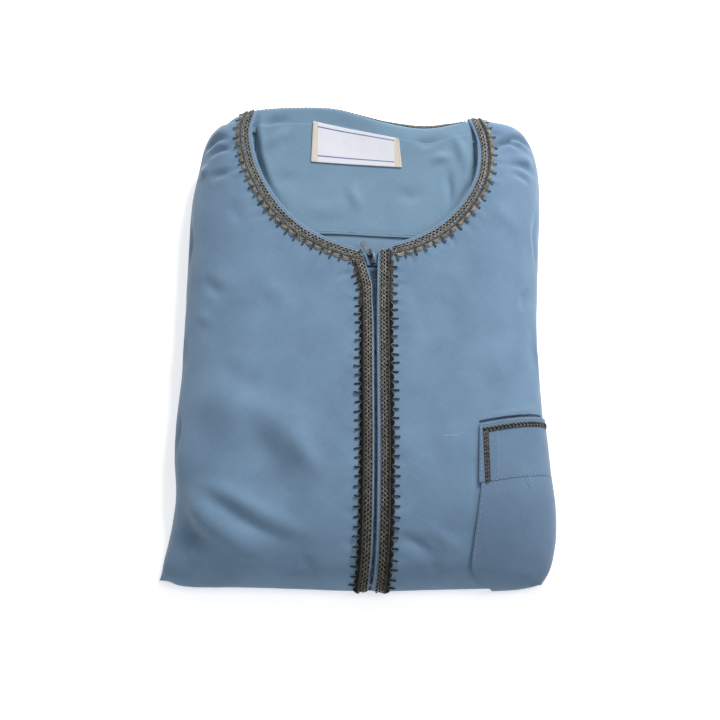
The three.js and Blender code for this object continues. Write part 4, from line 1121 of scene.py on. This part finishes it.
def chain(route, start, end, pale_links):
    """A narrow chain braid: crossing rings, slanting dark links over them and a yarn on each edge"""
    rings, links = [], []
    edges = [
        [route.place(along, across, 0.35) for along in np.arange(start, end, 0.8)]
        for across in (0.35, 2.85)
    ]
    for hand in (-1, 1):
        rings.append([
            route.place(along, 1.6 + hand * 1.0 * math.sin(math.pi * along / CHAIN_PITCH), 0.5)
            for along in np.arange(start, end, 0.4)
        ])
    for along in np.arange(start + 0.6, end - 0.9, CHAIN_PITCH):
        links.append([
            (route.place(along - 0.75, 0.5, 0.35), 0.7),
            (route.place(along - 0.3, 1.2, 0.85), 1.1),
            (route.place(along + 0.3, 2.0, 0.85), 1.1),
            (route.place(along + 0.75, 2.7, 0.35), 0.7),
        ])
    return [
        threads(rings, 0.25, PALE_YARN),
        threads(links, 0.42, MID_YARN if pale_links else DARK_YARN, 1),
        threads(edges, 0.3, MID_YARN, 1),
    ]


column_route = Route(pocket_surface, over_top(pocket_surface, curved(chain_column)), 1)
row_route = Route(pocket_surface, over_top(pocket_surface, curved(chain_row)), 1)
pocket_chain = joined("pocket_chain", [
    *chain(column_route, 0, column_route.length - 1, True),
    *chain(row_route, 0, row_route.length, False),
])
worn(pocket_chain, "braid", "pocket_braid")

# Sewing: topstitches along the turned edges, the facing, the pocket and the label, and the loose ends
# and basting stitches left in the cloth. A strip of dark cloth at the pocket's mouth is painted shade,
# where the real mouth is a shaded gap.
BLUE_THREAD = yarn("pale blue thread", tint(158, 182, 206), tint(120, 146, 174), 0.5)
WHITE_THREAD = yarn("white thread", tint(232, 232, 230), tint(196, 196, 196), 0.5)


def stitches(route, across, length=1.7, gap=0.75, start=0.8, sunk=0.02):
    """Runs for a row of stitches: each rises from the cloth and goes back into it"""
    made = []
    along = start
    while along + length < route.length - 0.8:
        made.append([
            route.place(along + length * t, across, sunk + 0.2 * math.sin(math.pi * t))
            for t in (0, 0.33, 0.67, 1)
        ])
        along += length + gap * chance.uniform(0.85, 1.15)
    return made


def plan_route(surface, points, hand=1):
    """A seam's line on the cloth under its plan points"""
    return Route(surface, over_top(surface, curved(points)), hand)


facing_surface = Surface(facing)
facing_line = plan_route(facing_surface, FACING_SEAM)
label_surface = Surface(label)
label_ends = [
    plan_route(label_surface, [(-29.4, 145.4), (-30.2, 120)]),
    plan_route(label_surface, [(24.4, 132.4), (25.9, 115.2)]),
]
basting = plan_route(right_surface, [(48, -71), (60.5, -71)])
# The pocket's seams, each with its stitch and gap: the cuff's mouth, a line down it, its foot and
# its side, and the side of the bag
POCKET_SEAMS = [
    ([(70.8, -65.0), (90, -60.5), (111, -55.6)], 1.7, 0.75),
    ([(80.4, -67), (80, -84), (79.4, -98)], 1.5, 0.9),
    ([(75, -99.2), (94, -95.2), (112, -91.2)], 1.5, 0.9),
    ([(70.9, -65), (70.4, -80), (69.4, -99.6)], 1.6, 0.8),
    ([(71.1, -103.4), (69.2, -114), (67.3, -126), (65.5, -137), (64.5, -146)], 1.8, 0.8),
]
sewing = [
    *stitches(facing_line, 0),
    *stitches(neck_left, -1.3),
    *stitches(neck_right, -1.3),
    *stitches(placket_right, -1.1),
]
for points, length, gap in POCKET_SEAMS:
    sewing += stitches(plan_route(pocket_surface, points), 0, length, gap)
label_sewing = [run for end in label_ends for run in stitches(end, 0, 1.2, 0.9)]


OVER_CLOTH_Z = 34


def loose_end(surface, points):
    """A cut thread end that stands a little off the cloth; each point has its own height"""
    return [
        surface.nearest(placed(x, y, OVER_CLOTH_Z))[0] + Vector((0, 0, z * MM)) for x, y, z in points
    ]


POCKET_ENDS = [
    [(99, -94, 0.2), (100.2, -96, 0.9), (101, -98.4, 1.1), (101.4, -101, 0.4)],
    [(98.4, -95, 0.2), (98.2, -97.4, 1.0), (99.6, -100, 0.8), (101.6, -101.4, 0.3)],
    [(79, -63.6, 0.2), (80.6, -61.8, 0.8), (83.4, -61.2, 0.6), (84.6, -59.8, 0.3)],
]
ends = [loose_end(pocket_surface, points) for points in POCKET_ENDS]
tuft = [
    loose_end(label_surface, [
        (24.6, 133, 0.2), (25.6 + 0.5 * k, 134.4, 1.1), (25 + k, 136, 1.0 + 0.2 * k),
    ])
    for k in range(4)
]
# A thin strip of dark navy cloth along the pocket's mouth: painted shade, standing in for the shaded
# gap under the cuff's lip
MOUTH_PAINTED_SHADE = woven("painted shade in the pocket mouth", tint(44, 56, 74), tint(36, 46, 62), tint(62, 76, 98))
mouth_route = plan_route(right_surface, [(69.8, -62.9), (90, -58.2), (108, -54.0)], -1)
mouth_shade_strip = ribbon(mouth_route, 0.5, mouth_route.length, 0, 1.25, 0.25, MOUTH_PAINTED_SHADE)
stitching_and_mouth_shade = joined("stitching_and_mouth_shade", [threads(sewing, 0.17, BLUE_THREAD), mouth_shade_strip])
worn(stitching_and_mouth_shade, "cloth")
white_sewing = joined("white_stitches", [
    threads(label_sewing + stitches(basting, 0, 2.0, 1.1) + tuft, 0.14, WHITE_THREAD),
    threads(ends, 0.12, BLUE_THREAD),
])
worn(white_sewing, "cloth")

# Floor, light and camera: a white table in even white light, with a soft lamp at the far right and a
# weaker one at the right. The robe is seen from above its near end.
white = Finish("white table", Roughness=0.9, Emission_Strength=0.5)
white.feed(white.shader.inputs["Emission Color"], tint(255, 255, 255))
white.feed(white.shader.inputs["Base Color"], tint(250, 250, 250))
floor = bmesh.new()
bmesh.ops.create_grid(floor, x_segments=1, y_segments=1, size=3)
table_top = formed("table_top", floor, white.material)

WORLD_STRENGTH = 0.44
world = bpy.data.worlds.new("studio")
world.use_nodes = True
background = world.node_tree.nodes["Background"]
background.inputs["Color"].default_value = tint(255, 255, 255)
background.inputs["Strength"].default_value = WORLD_STRENGTH
bpy.context.scene.world = world


def lamp(name, place, aim, size, power):
    """A soft round light, by its place and aim in metres"""
    light = bpy.data.lights.new(name, "AREA")
    light.shape = "DISK"
    light.size = size
    light.energy = power
    made = bpy.data.objects.new(name, light)
    made.location = place
    made.rotation_euler = (Vector(aim) - Vector(place)).to_track_quat("-Z", "Y").to_euler()
    bpy.context.scene.collection.objects.link(made)


lamp("far light", (0.4, 0.8, 0.75), (0, 0, 0), 0.35, 13)
lamp("side light", (0.8, 0.0, 0.9), (0, 0, 0), 0.6, 2.5)

CAMERA_AIM = placed(0, -13.5, 15)
CAMERA_ELEVATION = 64
CAMERA_DISTANCE = 800 * MM
camera = bpy.data.cameras.new("camera")
camera.lens = 65
camera.sensor_width = 36
lift = math.radians(CAMERA_ELEVATION)
view = bpy.data.objects.new("camera", camera)
view.location = CAMERA_AIM + Vector((0, -math.cos(lift), math.sin(lift))) * CAMERA_DISTANCE
view.rotation_euler = (math.radians(90) - lift, 0, 0)
bpy.context.scene.collection.objects.link(view)
bpy.context.scene.camera = view
bpy.context.scene.view_settings.view_transform = "Standard"
